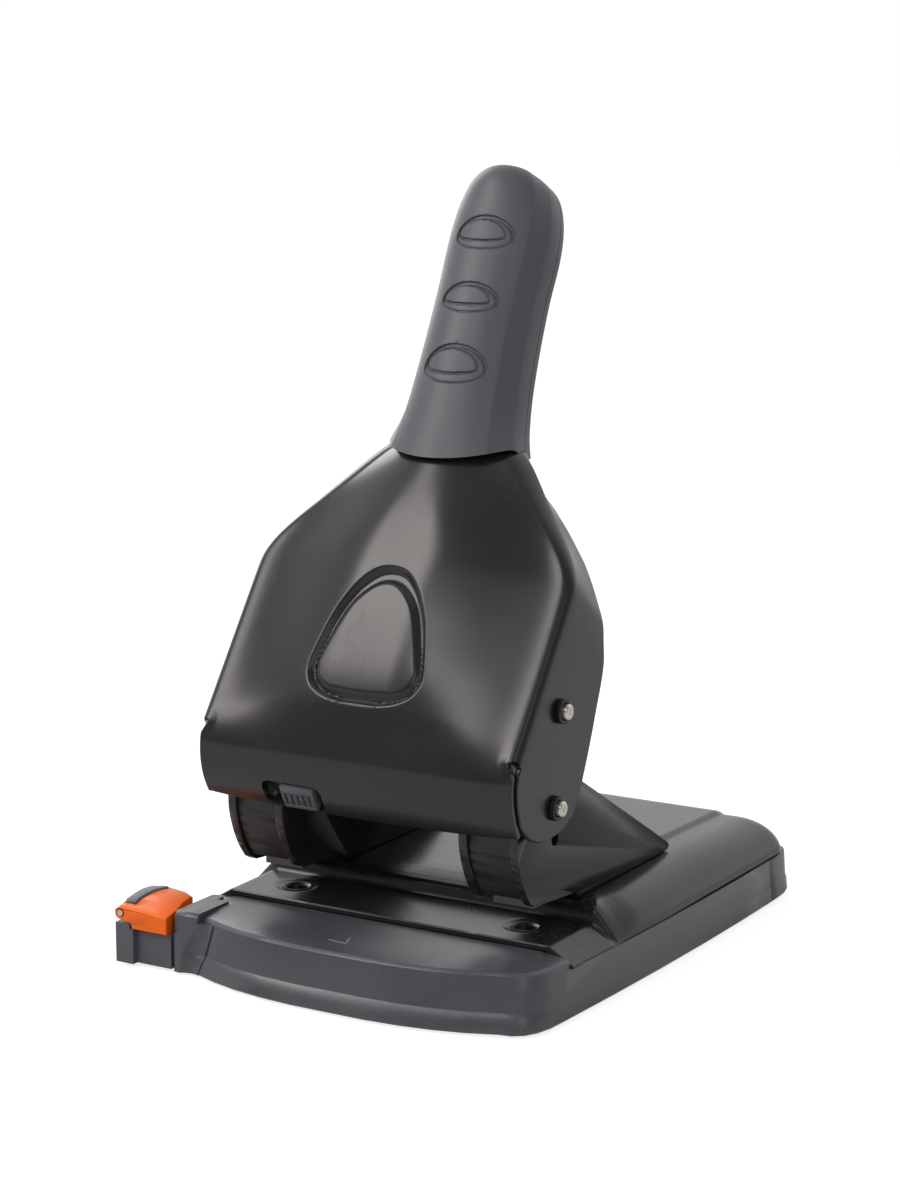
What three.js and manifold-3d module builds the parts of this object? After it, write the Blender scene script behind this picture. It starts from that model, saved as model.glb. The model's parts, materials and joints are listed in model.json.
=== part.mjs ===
// Heavy duty two-hole punch, in millimetres.
// X runs to the right, Y to the rear and Z up. Zero is the centre of the tray's flat underside.
// The user stands in front, slides the paper in under the brackets and pushes the handle back and down.

import * as THREE from "three";
import { mergeVertices } from "three/addons/utils/BufferGeometryUtils.js";
import ManifoldModule from "manifold-3d";

const wasm = await ManifoldModule();
wasm.setup();

// Clearances and cuts used everywhere
const restGap = 0.3;
const cutOverrun = 1.5;
const sheetThickness = 2;
const roundSides = 12;
const smallSides = 12;
const curveSteps = 5;

// Punching geometry that everything else lines up with
const holeSpacing = 80;
const holeDiameter = 6;
const paperMargin = 12;
const punchRowY = -45.5;
const tableTop = 20;
const leverSwing = THREE.MathUtils.degToRad(66);

// Fulcrum of the lever, ahead of the punch row by the radius of the cams' base circle
const camBaseRadius = 8;
const pivotHeight = 59.2;
const pivotY = punchRowY - camBaseRadius;
const stroke = camBaseRadius * leverSwing;

// Plastic tray
const trayHalfWidth = 67.3;
const trayFront = -92;
const trayRear = 91.5;
const trayWallTop = 14.3;
const trayLipTop = 17.3;
const trayApronTop = 18.2;
const trayWall = 2.2;
const trayFloor = 2;
const drawerSeamY = 71;

// Pressed deck plate
const deckTop = 26;
const deckRearTop = 24.9;
const deckRimHalfWidth = 65.6;
const deckRear = 87.6;
const deckShoulder = 16;
const tableShoulder = 8.4;
const tableFront = -59.2;
const padHalfWidth = 43;
const padRise = 1;
const padFront = 32;

// Brackets
const bracketPlate = 2.6;
const bracketInnerWidth = 14;
const bracketHeadRadius = 13.7;
const bracketSlopeAngle = THREE.MathUtils.degToRad(60.5);
const bracketRearY = 29;
const bracketWebThickness = 2;

// Shafts
const shaftRadius = 2.4;
const shaftClearance = 0.3;
const shaftOverhang = 3.2;
const tieShaftAhead = 3.2;
const tieShaftAbove = 27.7;

// Lever body
const leverHalfWidth = 53.8;
const creaseY = -75.7;
const creaseZ = 77;
const faceLean = THREE.MathUtils.degToRad(36.5);
const faceLength = 104;
const domeRise = 10.4;
const rollRadius = 24;

// Grip
const gripBottom = 153.6;
const gripTop = 237;
const gripLean = THREE.MathUtils.degToRad(25.4);
const gripSideY = -22.8;
const gripHalfWidth = 20.2;
const gripCrown = 11.2;
const gripSideDepth = 9.3;
const gripBackDepth = 6;
const gripWall = 1.8;

// Paper guide
const guideFront = -81.9;
const guideDepth = 13.4;
const guideLeft = -79.5;
const guideInnerEnd = 15;
const guideBottom = 0.6;
const guideTop = 11.2;

const xAxis = new THREE.Vector3(1, 0, 0);
const yAxis = new THREE.Vector3(0, 1, 0);
const zAxis = new THREE.Vector3(0, 0, 1);
const alongXFrame = new THREE.Matrix4().makeBasis(yAxis, zAxis, xAxis);
const alongYFrame = new THREE.Matrix4().makeBasis(xAxis, zAxis, yAxis.clone().negate());

const satinBlack = { color: 0x1b1a1b, roughness: 0.42, metalness: 0.3 };
const slatePlastic = { color: 0x3a3b42, roughness: 0.55, metalness: 0 };
const orangePlastic = { color: 0xf26a12, roughness: 0.45, metalness: 0 };
const brightSteel = { color: 0xb9b6b0, roughness: 0.3, metalness: 1 };
const darkSteel = { color: 0x4a4a4c, roughness: 0.4, metalness: 1 };
const springSteel = { color: 0x8d8f93, roughness: 0.35, metalness: 1 };
const darkRubber = { color: 0x1d1d1e, roughness: 0.9, metalness: 0 };

const holePunch = new THREE.Group();

// Adds one named piece from a geometry or a solid
function addPiece(name, shape, finish, parent = holePunch) {
  const geometry = shape.isBufferGeometry ? shape : geometryOf(shape);
  const mesh = new THREE.Mesh(geometry, new THREE.MeshStandardMaterial(finish));
  mesh.name = name;
  parent.add(mesh);
  return mesh;
}

// Closed geometry to solid and back
function solidOf(geometry) {
  const bare = geometry.clone();
  bare.deleteAttribute("normal");
  bare.deleteAttribute("uv");
  const merged = mergeVertices(bare);
  return new wasm.Manifold(
    new wasm.Mesh({
      numProp: 3,
      vertProperties: new Float32Array(merged.attributes.position.array),
      triVerts: new Uint32Array(merged.index.array),
    }),
  );
}

function geometryOf(solid) {
  const mesh = solid.getMesh();
  const geometry = new THREE.BufferGeometry();
  geometry.setAttribute("position", new THREE.BufferAttribute(new Float32Array(mesh.vertProperties), 3));
  geometry.setIndex(new THREE.BufferAttribute(new Uint32Array(mesh.triVerts), 1));
  return geometry;
}

function joined(...geometries) {
  return geometries.map(solidOf).reduce((whole, next) => whole.add(next));
}

// The one large body of a solid, without the specks that a cut along a skin can leave
function largestBody(solid) {
  const bodies = solid.decompose();
  return bodies.reduce((best, body) => (Math.abs(body.volume()) > Math.abs(best.volume()) ? body : best));
}

function without(solid, ...geometries) {
  return geometries.map(solidOf).reduce((rest, next) => rest.subtract(next), solid);
}

// A block between two corners
function block(fromX, toX, fromY, toY, fromZ, toZ) {
  const geometry = new THREE.BoxGeometry(toX - fromX, toY - fromY, toZ - fromZ);
  return geometry.translate((fromX + toX) / 2, (fromY + toY) / 2, (fromZ + toZ) / 2);
}

// Round bars along each axis
function barAlongX(radius, fromX, toX, y, z, sides = roundSides) {
  const geometry = new THREE.CylinderGeometry(radius, radius, toX - fromX, sides);
  return geometry.rotateZ(Math.PI / 2).translate((fromX + toX) / 2, y, z);
}

function barAlongY(radius, x, fromY, toY, z, sides = roundSides) {
  const geometry = new THREE.CylinderGeometry(radius, radius, toY - fromY, sides);
  return geometry.translate(x, (fromY + toY) / 2, z);
}

function barAlongZ(radius, x, y, fromZ, toZ, sides = roundSides) {
  const geometry = new THREE.CylinderGeometry(radius, radius, toZ - fromZ, sides);
  return geometry.rotateX(Math.PI / 2).translate(x, y, (fromZ + toZ) / 2);
}

// Turned piece: profile of radius and height, standing on Z
function turned(profile, x, y, sides = roundSides) {
  const points = profile.map(([radius, height]) => new THREE.Vector2(radius, height));
  return new THREE.LatheGeometry(points, sides).rotateX(Math.PI / 2).translate(x, y, 0);
}

// Outline in Y and Z extruded along X, and outline in X and Z extruded along Y
function extrudedAlongX(outline, fromX, toX, steps = curveSteps) {
  const options = { depth: toX - fromX, bevelEnabled: false, curveSegments: steps };
  return new THREE.ExtrudeGeometry(outline, options).applyMatrix4(alongXFrame).translate(fromX, 0, 0);
}

function extrudedAlongY(outline, fromY, toY, steps = curveSteps) {
  const options = { depth: toY - fromY, bevelEnabled: false, curveSegments: steps };
  return new THREE.ExtrudeGeometry(outline, options).applyMatrix4(alongYFrame).translate(0, toY, 0);
}

function extrudedAlongZ(outline, fromZ, toZ, steps = curveSteps) {
  const options = { depth: toZ - fromZ, bevelEnabled: false, curveSegments: steps };
  return new THREE.ExtrudeGeometry(outline, options).translate(0, 0, fromZ);
}

// Smooth curve through a table of positions and values
function curveThrough(places, values) {
  const interpolant = new THREE.CubicInterpolant(places, values, 1);
  return (place) => interpolant.evaluate(THREE.MathUtils.clamp(place, places[0], places.at(-1)))[0];
}

// Solid through a stack of level rings, each counter-clockwise from above
function lofted(rings) {
  const count = rings[0].length;
  const positions = rings.flat().flatMap((point) => [point.x, point.y, point.z]);
  const index = [];
  for (let level = 0; level + 1 < rings.length; level += 1) {
    for (let place = 0; place < count; place += 1) {
      const next = (place + 1) % count;
      const lower = level * count;
      const upper = lower + count;
      index.push(lower + place, lower + next, upper + next);
      index.push(lower + place, upper + next, upper + place);
    }
  }
  const capOf = (ring) => THREE.ShapeUtils.triangulateShape(ring.map((p) => new THREE.Vector2(p.x, p.y)), []);
  for (const [a, b, c] of capOf(rings[0])) {
    index.push(a, c, b);
  }
  const top = (rings.length - 1) * count;
  for (const [a, b, c] of capOf(rings.at(-1))) {
    index.push(top + a, top + b, top + c);
  }
  const geometry = new THREE.BufferGeometry();
  geometry.setAttribute("position", new THREE.Float32BufferAttribute(positions, 3));
  geometry.setIndex(index);
  return geometry;
}

// Sheet metal from a grid of outer points: the inner skin lies one thickness behind it.
// A cell that isn't kept is a slit, and every open edge is closed by the sheet's cut edge.
function pressedSheet(rows, thickness, isKept = () => true) {
  const columnCount = rows[0].length;
  const at = (row, column) => row * columnCount + column;
  const outer = rows.flat();
  const normals = outer.map(() => new THREE.Vector3());
  const cells = [];
  const edge = new THREE.Vector3();
  const other = new THREE.Vector3();
  for (let row = 0; row + 1 < rows.length; row += 1) {
    for (let column = 0; column + 1 < columnCount; column += 1) {
      if (!isKept(row, column)) {
        continue;
      }
      const corners = [at(row, column), at(row, column + 1), at(row + 1, column + 1), at(row + 1, column)];
      cells.push(corners);
      edge.subVectors(outer[corners[2]], outer[corners[0]]);
      other.subVectors(outer[corners[3]], outer[corners[1]]);
      const normal = edge.clone().cross(other).normalize();
      corners.forEach((corner) => normals[corner].add(normal));
    }
  }
  const inner = outer.map((point, place) =>
    point.clone().addScaledVector(normals[place].normalize(), -thickness),
  );
  const behind = outer.length;
  const index = [];
  const openEdges = new Map();
  for (const corners of cells) {
    const [a, b, c, d] = corners;
    index.push(a, b, c, a, c, d);
    index.push(behind + a, behind + c, behind + b, behind + a, behind + d, behind + c);
    corners.forEach((from, place) => {
      const to = corners[(place + 1) % corners.length];
      if (!openEdges.delete(`${to} ${from}`)) {
        openEdges.set(`${from} ${to}`, [from, to]);
      }
    });
  }
  for (const [from, to] of openEdges.values()) {
    index.push(to, from, behind + from, to, behind + from, behind + to);
  }
  const geometry = new THREE.BufferGeometry();
  const positions = [...outer, ...inner].flatMap((point) => [point.x, point.y, point.z]);
  geometry.setAttribute("position", new THREE.Float32BufferAttribute(positions, 3));
  geometry.setIndex(index);
  return geometry;
}

// Plastic tray: bowed outline as shares of its half width, front reach and rear reach
const trayFrontBowShares = [0.47, 1.013];
const trayFrontCornerShares = [0.78, 0.904];
const traySideStartShares = [0.942, 0.7];
const traySideBowShares = [1.005, -0.1];
const traySideRearShares = [0.985, 0.84];
const trayRearCornerShares = [0.86, 1];

function trayRing(z, widthShare, frontShare, rearShare) {
  const halfWidth = trayHalfWidth * widthShare;
  const front = trayFront * frontShare;
  const rear = trayRear * rearShare;
  const placed = ([across, along], reach) => [halfWidth * across, reach * along];
  const outline = new THREE.Shape();
  const frontCorner = placed(trayFrontCornerShares, front);
  const sideStart = placed(traySideStartShares, front);
  const rearStart = placed(traySideRearShares, rear);
  const rearCorner = placed(trayRearCornerShares, rear);
  outline.moveTo(0, front);
  outline.quadraticCurveTo(...placed(trayFrontBowShares, front), ...frontCorner);
  outline.quadraticCurveTo(sideStart[0], frontCorner[1], ...sideStart);
  outline.quadraticCurveTo(...placed(traySideBowShares, front), ...rearStart);
  outline.quadraticCurveTo(rearStart[0], rearCorner[1], ...rearCorner);
  const right = outline.getPoints(curveSteps);
  const left = right.slice(1).reverse().map((point) => new THREE.Vector2(-point.x, point.y));
  return [...right, ...left].map((point) => new THREE.Vector3(point.x, point.y, z));
}

// Height, then shares of width, front reach and rear reach
const traySkirtTop = 6;
const trayEdgeRound = 0.9;
const trayLevels = [
  [0, 0.988, 0.99, 0.99],
  [trayEdgeRound, 1, 1, 1],
  [traySkirtTop - trayEdgeRound, 0.995, 0.982, 0.998],
  [traySkirtTop, 0.99, 0.973, 0.995],
  [trayLipTop - trayEdgeRound, 0.982, 0.962, 0.99],
  [trayLipTop, 0.966, 0.95, 0.982],
  [trayApronTop, 0.84, 0.8, 0.9],
];
const trayOuter = lofted(trayLevels.map((level) => trayRing(...level)));

function trayInner(fromZ, toZ) {
  const [, width, front, rear] = trayLevels[4];
  const shares = [
    width - trayWall / trayHalfWidth,
    front + trayWall / trayFront,
    rear - trayWall / trayRear,
  ];
  return lofted([trayRing(fromZ, ...shares), trayRing(toZ, ...shares)]);
}

// Everything on one side of a level or a plane, wider than the whole tray
const farAway = 200;

function behind(y) {
  return block(-farAway, farAway, y, farAway, -farAway, farAway);
}

// Housing at the front left corner, which the paper guide slides into
const housingWall = 1.5;
const bayEndGap = 4;
const guideRear = guideFront + guideDepth;
const bayFront = guideFront - restGap;
const bayRear = guideRear + restGap;
const bayTop = guideTop + restGap;
const bayRight = guideInnerEnd + bayEndGap;
const housingLeft = -60.1;
const housingRight = -50.8;
const housingRear = -63.5;
const housingLevels = [0, traySkirtTop, 17.6, 18.7];
const housingCornerFronts = [-80.4, -80.4, -79.6, -78.8];
const housingFronts = [-84.2, -83.4, -82.9, -81.6];
const housingRightFronts = [-85.6, -84.4, -83, -81.8];
const housingCornerX = -59.1;
const housingMiddleX = -55;

function trayHousing() {
  const topInset = [0, 0, 0, housingLevels[3] - housingLevels[2]];
  const rings = housingLevels.map((z, level) =>
    [
      [housingLeft + topInset[level], housingRear],
      [housingLeft + topInset[level], housingCornerFronts[level]],
      [housingCornerX, Math.max(housingFronts[level], bayFront - housingWall)],
      [housingMiddleX, housingFronts[level]],
      [housingRight, housingRightFronts[level]],
      [housingRight, bayRear + housingWall],
      [housingMiddleX, bayRear + housingWall],
      [housingMiddleX, housingRear],
    ].map(([x, y]) => new THREE.Vector3(x, y, z)),
  );
  return lofted(rings);
}

// Screw posts between the tray and the deck
const postRadius = 4;
const postInset = 8.6;
const postX = deckRimHalfWidth - postInset;
const postRows = [-22, 58];
const postTop = 13.6;
const screwRadius = 1.5;
const screwHeadRadius = 2.9;
const screwHeadHeight = 2;
const screwRecess = 2.6;
const postPlaces = postRows.flatMap((y) => [-postX, postX].map((x) => [x, y]));

// Rubber feet
const footRadius = 7;
const footProud = 0.8;
const footRecess = 0.9;
const footRound = 0.5;
const footX = 47;
const footRows = [-58, 60];
const footPlaces = footRows.flatMap((y) => [-footX, footX].map((x) => [x, y]));

const drawerHalfWidth = 50;
const drawerRailHeight = 5;
const drawerRailWidth = 1.8;

function buildTray() {
  const outer = solidOf(trayOuter);
  const ceiling = trayLipTop - trayWall;
  const apronCut = block(-farAway, farAway, tableFront - restGap, farAway, trayWallTop, farAway);
  let tray = without(outer, trayInner(trayFloor, ceiling), apronCut, behind(drawerSeamY));
  const ribTop = ceiling + restGap;
  const ribs = joined(
    block(-farAway, bayRight, bayFront - housingWall, bayFront, 0, ribTop),
    block(-farAway, bayRight, bayRear, bayRear + housingWall, 0, ribTop),
    block(bayRight, bayRight + housingWall, bayFront - housingWall, bayRear + housingWall, 0, ribTop),
  ).intersect(outer);
  tray = tray.add(ribs).add(solidOf(trayHousing()));
  const railFront = bayRear + housingWall / 2;
  for (const side of [-1, 1]) {
    const middle = side * (drawerHalfWidth + restGap + drawerRailWidth / 2);
    const rail = block(
      middle - drawerRailWidth / 2,
      middle + drawerRailWidth / 2,
      railFront,
      drawerSeamY,
      trayFloor / 2,
      trayFloor + drawerRailHeight,
    );
    tray = tray.add(solidOf(rail));
  }
  for (const [x, y] of postPlaces) {
    tray = tray.add(solidOf(barAlongZ(postRadius, x, y, trayFloor / 2, postTop)));
    tray = without(
      tray,
      barAlongZ(screwRadius + restGap, x, y, -cutOverrun, postTop + cutOverrun),
      barAlongZ(screwHeadRadius + restGap, x, y, -cutOverrun, screwRecess),
    );
  }
  for (const [x, y] of footPlaces) {
    tray = without(tray, barAlongZ(footRadius + restGap, x, y, -cutOverrun, footRecess));
  }
  return without(tray, block(-farAway, bayRight, bayFront, bayRear, -cutOverrun, bayTop));
}

addPiece("base_tray", buildTray(), slatePlastic);

footPlaces.forEach(([x, y], place) => {
  const profile = [
    [0, -footProud],
    [footRadius - footRound, -footProud],
    [footRadius, -footProud + footRound],
    [footRadius, footRecess - restGap],
    [0, footRecess - restGap],
  ];
  addPiece(`rubber_foot_${place + 1}`, turned(profile, x, y), darkRubber);
});

// Chip drawer, whose rear end closes the tray
const drawerFloor = 1.6;
const drawerWall = 1.6;
const drawerTop = 12.6;
const drawerFront = bayRear + housingWall + restGap;

function buildDrawer() {
  const bottom = trayFloor + restGap;
  const inside = drawerHalfWidth - drawerWall;
  const innerTop = trayWallTop + cutOverrun;
  const capFront = drawerSeamY + restGap;
  const above = block(-farAway, farAway, -farAway, farAway, trayWallTop, farAway);
  const cap = without(solidOf(trayOuter).intersect(solidOf(behind(capFront))), above);
  const box = block(-drawerHalfWidth, drawerHalfWidth, drawerFront, capFront + drawerWall, bottom, drawerTop);
  const capHollow = solidOf(trayInner(bottom + drawerFloor, innerTop));
  const capInside = capHollow.intersect(solidOf(behind(capFront + drawerWall)));
  const hollow = block(
    -inside,
    inside,
    drawerFront + drawerWall,
    capFront + 2 * drawerWall,
    bottom + drawerFloor,
    innerTop,
  );
  return without(cap.add(solidOf(box)).subtract(capInside), hollow);
}

addPiece("chip_drawer", buildDrawer(), slatePlastic);

// Deck plate: profile along the centre line, then the rounded shoulders at both sides and the rear
const stopY = punchRowY + paperMargin;
const stopStepBehind = [-2, 0, 0.6, 2.6, 7, 13];
const stopStepShares = [0, 0.02, 0.44, 0.76, 0.95, 1];
const tableRows = [tableFront, -46];
const deckRows = [8, 29, 33, 56];
const deckRearShares = [0, 0.4, 0.7, 0.9, 1];
const deckRimLift = 0.3;
const deckFlatShares = [0, 0.3, 0.6, 0.84, 0.89, 1];
const deckShoulderShares = [0.36, 0.64, 0.84, 0.96, 1];
const deckRimTop = trayWallTop + restGap + deckRimLift;
const deckRearShoulder = 10;
const deckSlopeStart = 30;
const deckFrontHalfWidth = 63.6;

function deckHeight(y) {
  const step = curveThrough(stopStepBehind.map((distance) => stopY + distance), stopStepShares)(y);
  const fall = THREE.MathUtils.smoothstep(y, deckSlopeStart, deckRear);
  return tableTop + (deckTop - tableTop) * step - (deckTop - deckRearTop) * fall;
}

function deckPoint(y, share, rearShare) {
  const onDeck = THREE.MathUtils.smoothstep(y, stopY, stopY + deckShoulder);
  const bow = THREE.MathUtils.smoothstep(y, tableFront, 0);
  const halfWidth = THREE.MathUtils.lerp(deckFrontHalfWidth, deckRimHalfWidth, bow);
  const shoulder = THREE.MathUtils.lerp(tableShoulder, deckShoulder, onDeck);
  const flat = halfWidth - shoulder;
  const side = Math.sign(share);
  const across = Math.abs(share);
  const rounding = Math.sqrt(Math.max(0, 1 - rearShare ** 2));
  const shoulderShare = Math.max(0, across - 1) * rounding;
  const x = side * (flat * Math.min(1, across) + shoulder * shoulderShare);
  const round = Math.sqrt(Math.max(0, 1 - shoulderShare ** 2 - rearShare ** 2));
  const drop = THREE.MathUtils.lerp(1 - shoulderShare, round, onDeck);
  const padEdge = THREE.MathUtils.smoothstep(Math.abs(x), padHalfWidth - padRise, padHalfWidth + padRise);
  const pad = padRise * (1 - padEdge) * THREE.MathUtils.smoothstep(y, padFront - 2 * padRise, padFront);
  return new THREE.Vector3(x, y, deckRimTop + (deckHeight(y) - deckRimTop + pad) * drop);
}

const deckShares = [...deckFlatShares, ...deckShoulderShares.map((share) => 1 + share)];
const deckColumns = [...deckShares.slice(1).reverse().map((share) => -share), ...deckShares];
const deckRowPlaces = [
  ...tableRows.map((y) => [y, 0]),
  ...stopStepBehind.map((distance) => [stopY + distance, 0]),
  ...deckRows.map((y) => [y, 0]),
  ...deckRearShares.map((share) => [deckRear - deckRearShoulder * (1 - share), share]),
];
const bracketX = holeSpacing / 2;
const bracketScrewRows = [-14, 14];
const deckBossRadius = 3.4;
const deckBossDrop = 3;
const sideBossTop = 22;
const dieRadius = 4.5;

function buildDeck() {
  const rows = deckRowPlaces.map(([y, rearShare]) =>
    deckColumns.map((share) => deckPoint(y, share, rearShare)),
  );
  const trimmed = block(-farAway, farAway, -farAway, farAway, 0, trayWallTop + restGap);
  let deck = without(solidOf(pressedSheet(rows, sheetThickness)), trimmed);
  for (const [x, y] of postPlaces) {
    const foot = postTop + restGap;
    deck = deck.add(solidOf(barAlongZ(deckBossRadius, x, y, foot, sideBossTop)));
    deck = without(
      deck,
      barAlongZ(screwRadius + restGap, x, y, foot - cutOverrun, sideBossTop - sheetThickness),
    );
  }
  for (const x of [-bracketX, bracketX]) {
    for (const y of bracketScrewRows) {
      const bottom = deckTop - sheetThickness - deckBossDrop;
      deck = deck.add(solidOf(barAlongZ(deckBossRadius, x, y, bottom, deckTop - sheetThickness / 2)));
      deck = without(deck, barAlongZ(screwRadius + restGap, x, y, bottom - cutOverrun, deckTop + cutOverrun));
    }
    deck = without(deck, barAlongZ(dieRadius + restGap, x, punchRowY, deckRimTop, deckTop));
  }
  return deck;
}

// The table with the dies is a plate of its own, which ends where the deck steps up to the paper stop
const dieSeamAhead = 1.05;
const dieSeamY = stopY - dieSeamAhead;
const wholeDeck = buildDeck();
addPiece("deck_plate", wholeDeck.intersect(solidOf(behind(dieSeamY + restGap / 2))), satinBlack);
addPiece("die_plate", wholeDeck.subtract(solidOf(behind(dieSeamY - restGap / 2))), satinBlack);

postPlaces.forEach(([x, y], place) => {
  const headBottom = screwRecess - restGap - screwHeadHeight;
  const profile = [
    [0, headBottom],
    [screwHeadRadius, headBottom],
    [screwHeadRadius, headBottom + screwHeadHeight],
    [screwRadius, headBottom + screwHeadHeight],
    [screwRadius, sideBossTop - sheetThickness - 2 * restGap],
    [0, sideBossTop - sheetThickness - 2 * restGap],
  ];
  addPiece(`tray_screw_${place + 1}`, turned(profile, x, y), darkSteel);
});

// Hardened dies that the punches enter
const dieBottom = 14;
const dieTop = tableTop - restGap / 2;
const dieDish = 0.7;
const dieBore = holeDiameter / 2 + restGap;

for (const [side, x] of [["left", -bracketX], ["right", bracketX]]) {
  const profile = [
    [dieBore, dieBottom],
    [dieRadius, dieBottom],
    [dieRadius, dieTop],
    [dieRadius - dieDish / 2, dieTop],
    [dieBore, dieTop - dieDish],
    [dieBore, dieBottom],
  ];
  addPiece(`die_${side}`, turned(profile, x, punchRowY), brightSteel);
}

// Bracket side plate in Y and Z, from the tip under the head back along the deck
const bracketFoot = deckTop + restGap;
const bracketThroatRear = [-34.5, 28.3];
const bracketThroatFront = [-57, 30.2];
const bracketFrontRows = [-59.6, -63.2, -66.2, -67.8];
const bracketFrontShares = [0.048, 0.217, 0.441, 0.683];
const bracketFrontPoints = bracketFrontRows.map((y, place) => [
  y,
  THREE.MathUtils.lerp(bracketThroatFront[1], pivotHeight, bracketFrontShares[place]),
]);
const bracketRearRound = 2.5;
const bracketFootFront = -31;
const webFront = -29;
const webRear = 25;
const crossPinRadius = 1.8;
const crossPinBelow = 2.2;
const crossPinRest = pivotHeight - crossPinBelow;
const slotWidth = 4.1;
const slotAbove = 2.05;

function bracketSide() {
  const outline = new THREE.Shape();
  const lift = Math.sin(bracketSlopeAngle);
  const ahead = Math.cos(bracketSlopeAngle);
  const slopeStart = [pivotY + bracketHeadRadius * ahead, pivotHeight + bracketHeadRadius * lift];
  const alongSlope = (y) => slopeStart[1] - ((y - slopeStart[0]) * ahead) / lift;
  outline.moveTo(bracketFootFront, bracketFoot);
  outline.lineTo(bracketRearY - bracketRearRound, bracketFoot);
  outline.quadraticCurveTo(bracketRearY, bracketFoot, bracketRearY, bracketFoot + bracketRearRound / 2);
  const roundEnd = bracketRearY - bracketRearRound;
  outline.quadraticCurveTo(bracketRearY, alongSlope(bracketRearY), roundEnd, alongSlope(roundEnd));
  outline.lineTo(...slopeStart);
  outline.absarc(pivotY, pivotHeight, bracketHeadRadius, bracketSlopeAngle, Math.PI, false);
  outline.splineThru([...bracketFrontPoints].reverse().map((point) => new THREE.Vector2(...point)));
  outline.quadraticCurveTo(bracketThroatFront[0] - restGap, bracketThroatFront[1], ...bracketThroatFront);
  outline.lineTo(...bracketThroatRear);
  outline.quadraticCurveTo(bracketFootFront, bracketThroatRear[1], bracketFootFront, bracketFoot);
  return outline;
}

function buildBracket(x) {
  const inner = bracketInnerWidth / 2;
  const plates = [-1, 1].map((side) => {
    const middle = x + side * (inner + bracketPlate / 2);
    return extrudedAlongX(bracketSide(), middle - bracketPlate / 2, middle + bracketPlate / 2);
  });
  const web = block(
    x - inner - restGap,
    x + inner + restGap,
    webFront,
    webRear,
    bracketFoot,
    bracketFoot + bracketWebThickness,
  );
  const half = inner + bracketPlate + cutOverrun;
  const slotTop = crossPinRest + slotAbove;
  const slotBottom = crossPinRest - stroke - slotAbove - restGap;
  const slotRound = slotWidth / 2;
  let bracket = joined(...plates, web);
  bracket = without(
    bracket,
    barAlongX(shaftRadius + shaftClearance, x - half, x + half, pivotY, pivotHeight),
    block(
      x - half,
      x + half,
      punchRowY - slotRound,
      punchRowY + slotRound,
      slotBottom + slotRound,
      slotTop - slotRound,
    ),
    barAlongX(slotRound, x - half, x + half, punchRowY, slotBottom + slotRound),
    barAlongX(slotRound, x - half, x + half, punchRowY, slotTop - slotRound),
  );
  for (const y of bracketScrewRows) {
    bracket = without(
      bracket,
      barAlongZ(screwRadius + restGap, x, y, deckTop, deckTop + 2 * sheetThickness + cutOverrun),
    );
  }
  return bracket;
}

// Guard strip that closes the front of a bracket between its plates
const guardSetback = 0.7;
const guardThickness = 1.5;
const guardBottom = 32.5;
const guardTop = crossPinRest;

function buildGuard(x) {
  const front = bracketFrontPoints.map(([y, z]) => new THREE.Vector2(y + guardSetback, z));
  front.push(new THREE.Vector2(pivotY - bracketHeadRadius + guardSetback, pivotHeight));
  const rear = front.map((point) => new THREE.Vector2(point.x + guardThickness, point.y)).reverse();
  const outline = new THREE.Shape();
  outline.moveTo(front[0].x, front[0].y);
  outline.splineThru(front.slice(1));
  outline.lineTo(rear[0].x, rear[0].y);
  outline.splineThru(rear.slice(1));
  const half = bracketInnerWidth / 2 - restGap;
  const strip = solidOf(extrudedAlongX(outline, x - half, x + half));
  return strip.intersect(solidOf(block(-farAway, farAway, -farAway, farAway, guardBottom, guardTop)));
}

// Block that guides a punch, with the return spring on top of it
const guideBlockDepth = 14;
const guideBlockBottom = 28;
const guideBlockTop = 35;
const punchBottom = 28.4;
const punchAbovePin = 3.2;
const punchTop = crossPinRest + punchAbovePin;
const punchRadius = holeDiameter / 2;
const punchBevel = 0.4;
const springWire = 0.9;
const springRadius = 4.1;
const springCurls = 7;
const springSides = 5;
const springSteps = 8;
const collarRadius = 4.9;
const collarThickness = 1.2;
const collarTop = crossPinRest - crossPinRadius - restGap;
const crossPinHalfLength = 9.3;

function springTube(x, y, bottom, top) {
  const wire = springWire / 2;
  const rise = top - bottom - springWire;
  const count = springCurls * springSteps;
  const rings = [];
  for (let step = 0; step <= count; step += 1) {
    const turn = (2 * Math.PI * step) / springSteps;
    const outward = new THREE.Vector3(Math.cos(turn), Math.sin(turn), 0);
    const along = new THREE.Vector3(-Math.sin(turn), Math.cos(turn), 0);
    along.z = rise / springCurls / (2 * Math.PI * springRadius);
    const across = outward.clone().cross(along.normalize());
    const centre = outward.clone().multiplyScalar(springRadius);
    centre.add(new THREE.Vector3(x, y, bottom + wire + (rise * step) / count));
    const ring = Array.from({ length: springSides }, (_, place) => {
      const angle = (2 * Math.PI * place) / springSides;
      return centre
        .clone()
        .addScaledVector(outward, wire * Math.cos(angle))
        .addScaledVector(across, -wire * Math.sin(angle));
    });
    rings.push(ring);
  }
  const index = [];
  for (let step = 0; step < count; step += 1) {
    for (let place = 0; place < springSides; place += 1) {
      const next = (place + 1) % springSides;
      const near = step * springSides;
      const far = near + springSides;
      index.push(near + place, near + next, far + next, near + place, far + next, far + place);
    }
  }
  for (let place = 1; place + 1 < springSides; place += 1) {
    const last = count * springSides;
    index.push(0, place + 1, place, last, last + place, last + place + 1);
  }
  const geometry = new THREE.BufferGeometry();
  const positions = rings.flat().flatMap((point) => [point.x, point.y, point.z]);
  geometry.setAttribute("position", new THREE.Float32BufferAttribute(positions, 3));
  geometry.setIndex(index);
  return geometry;
}

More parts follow.
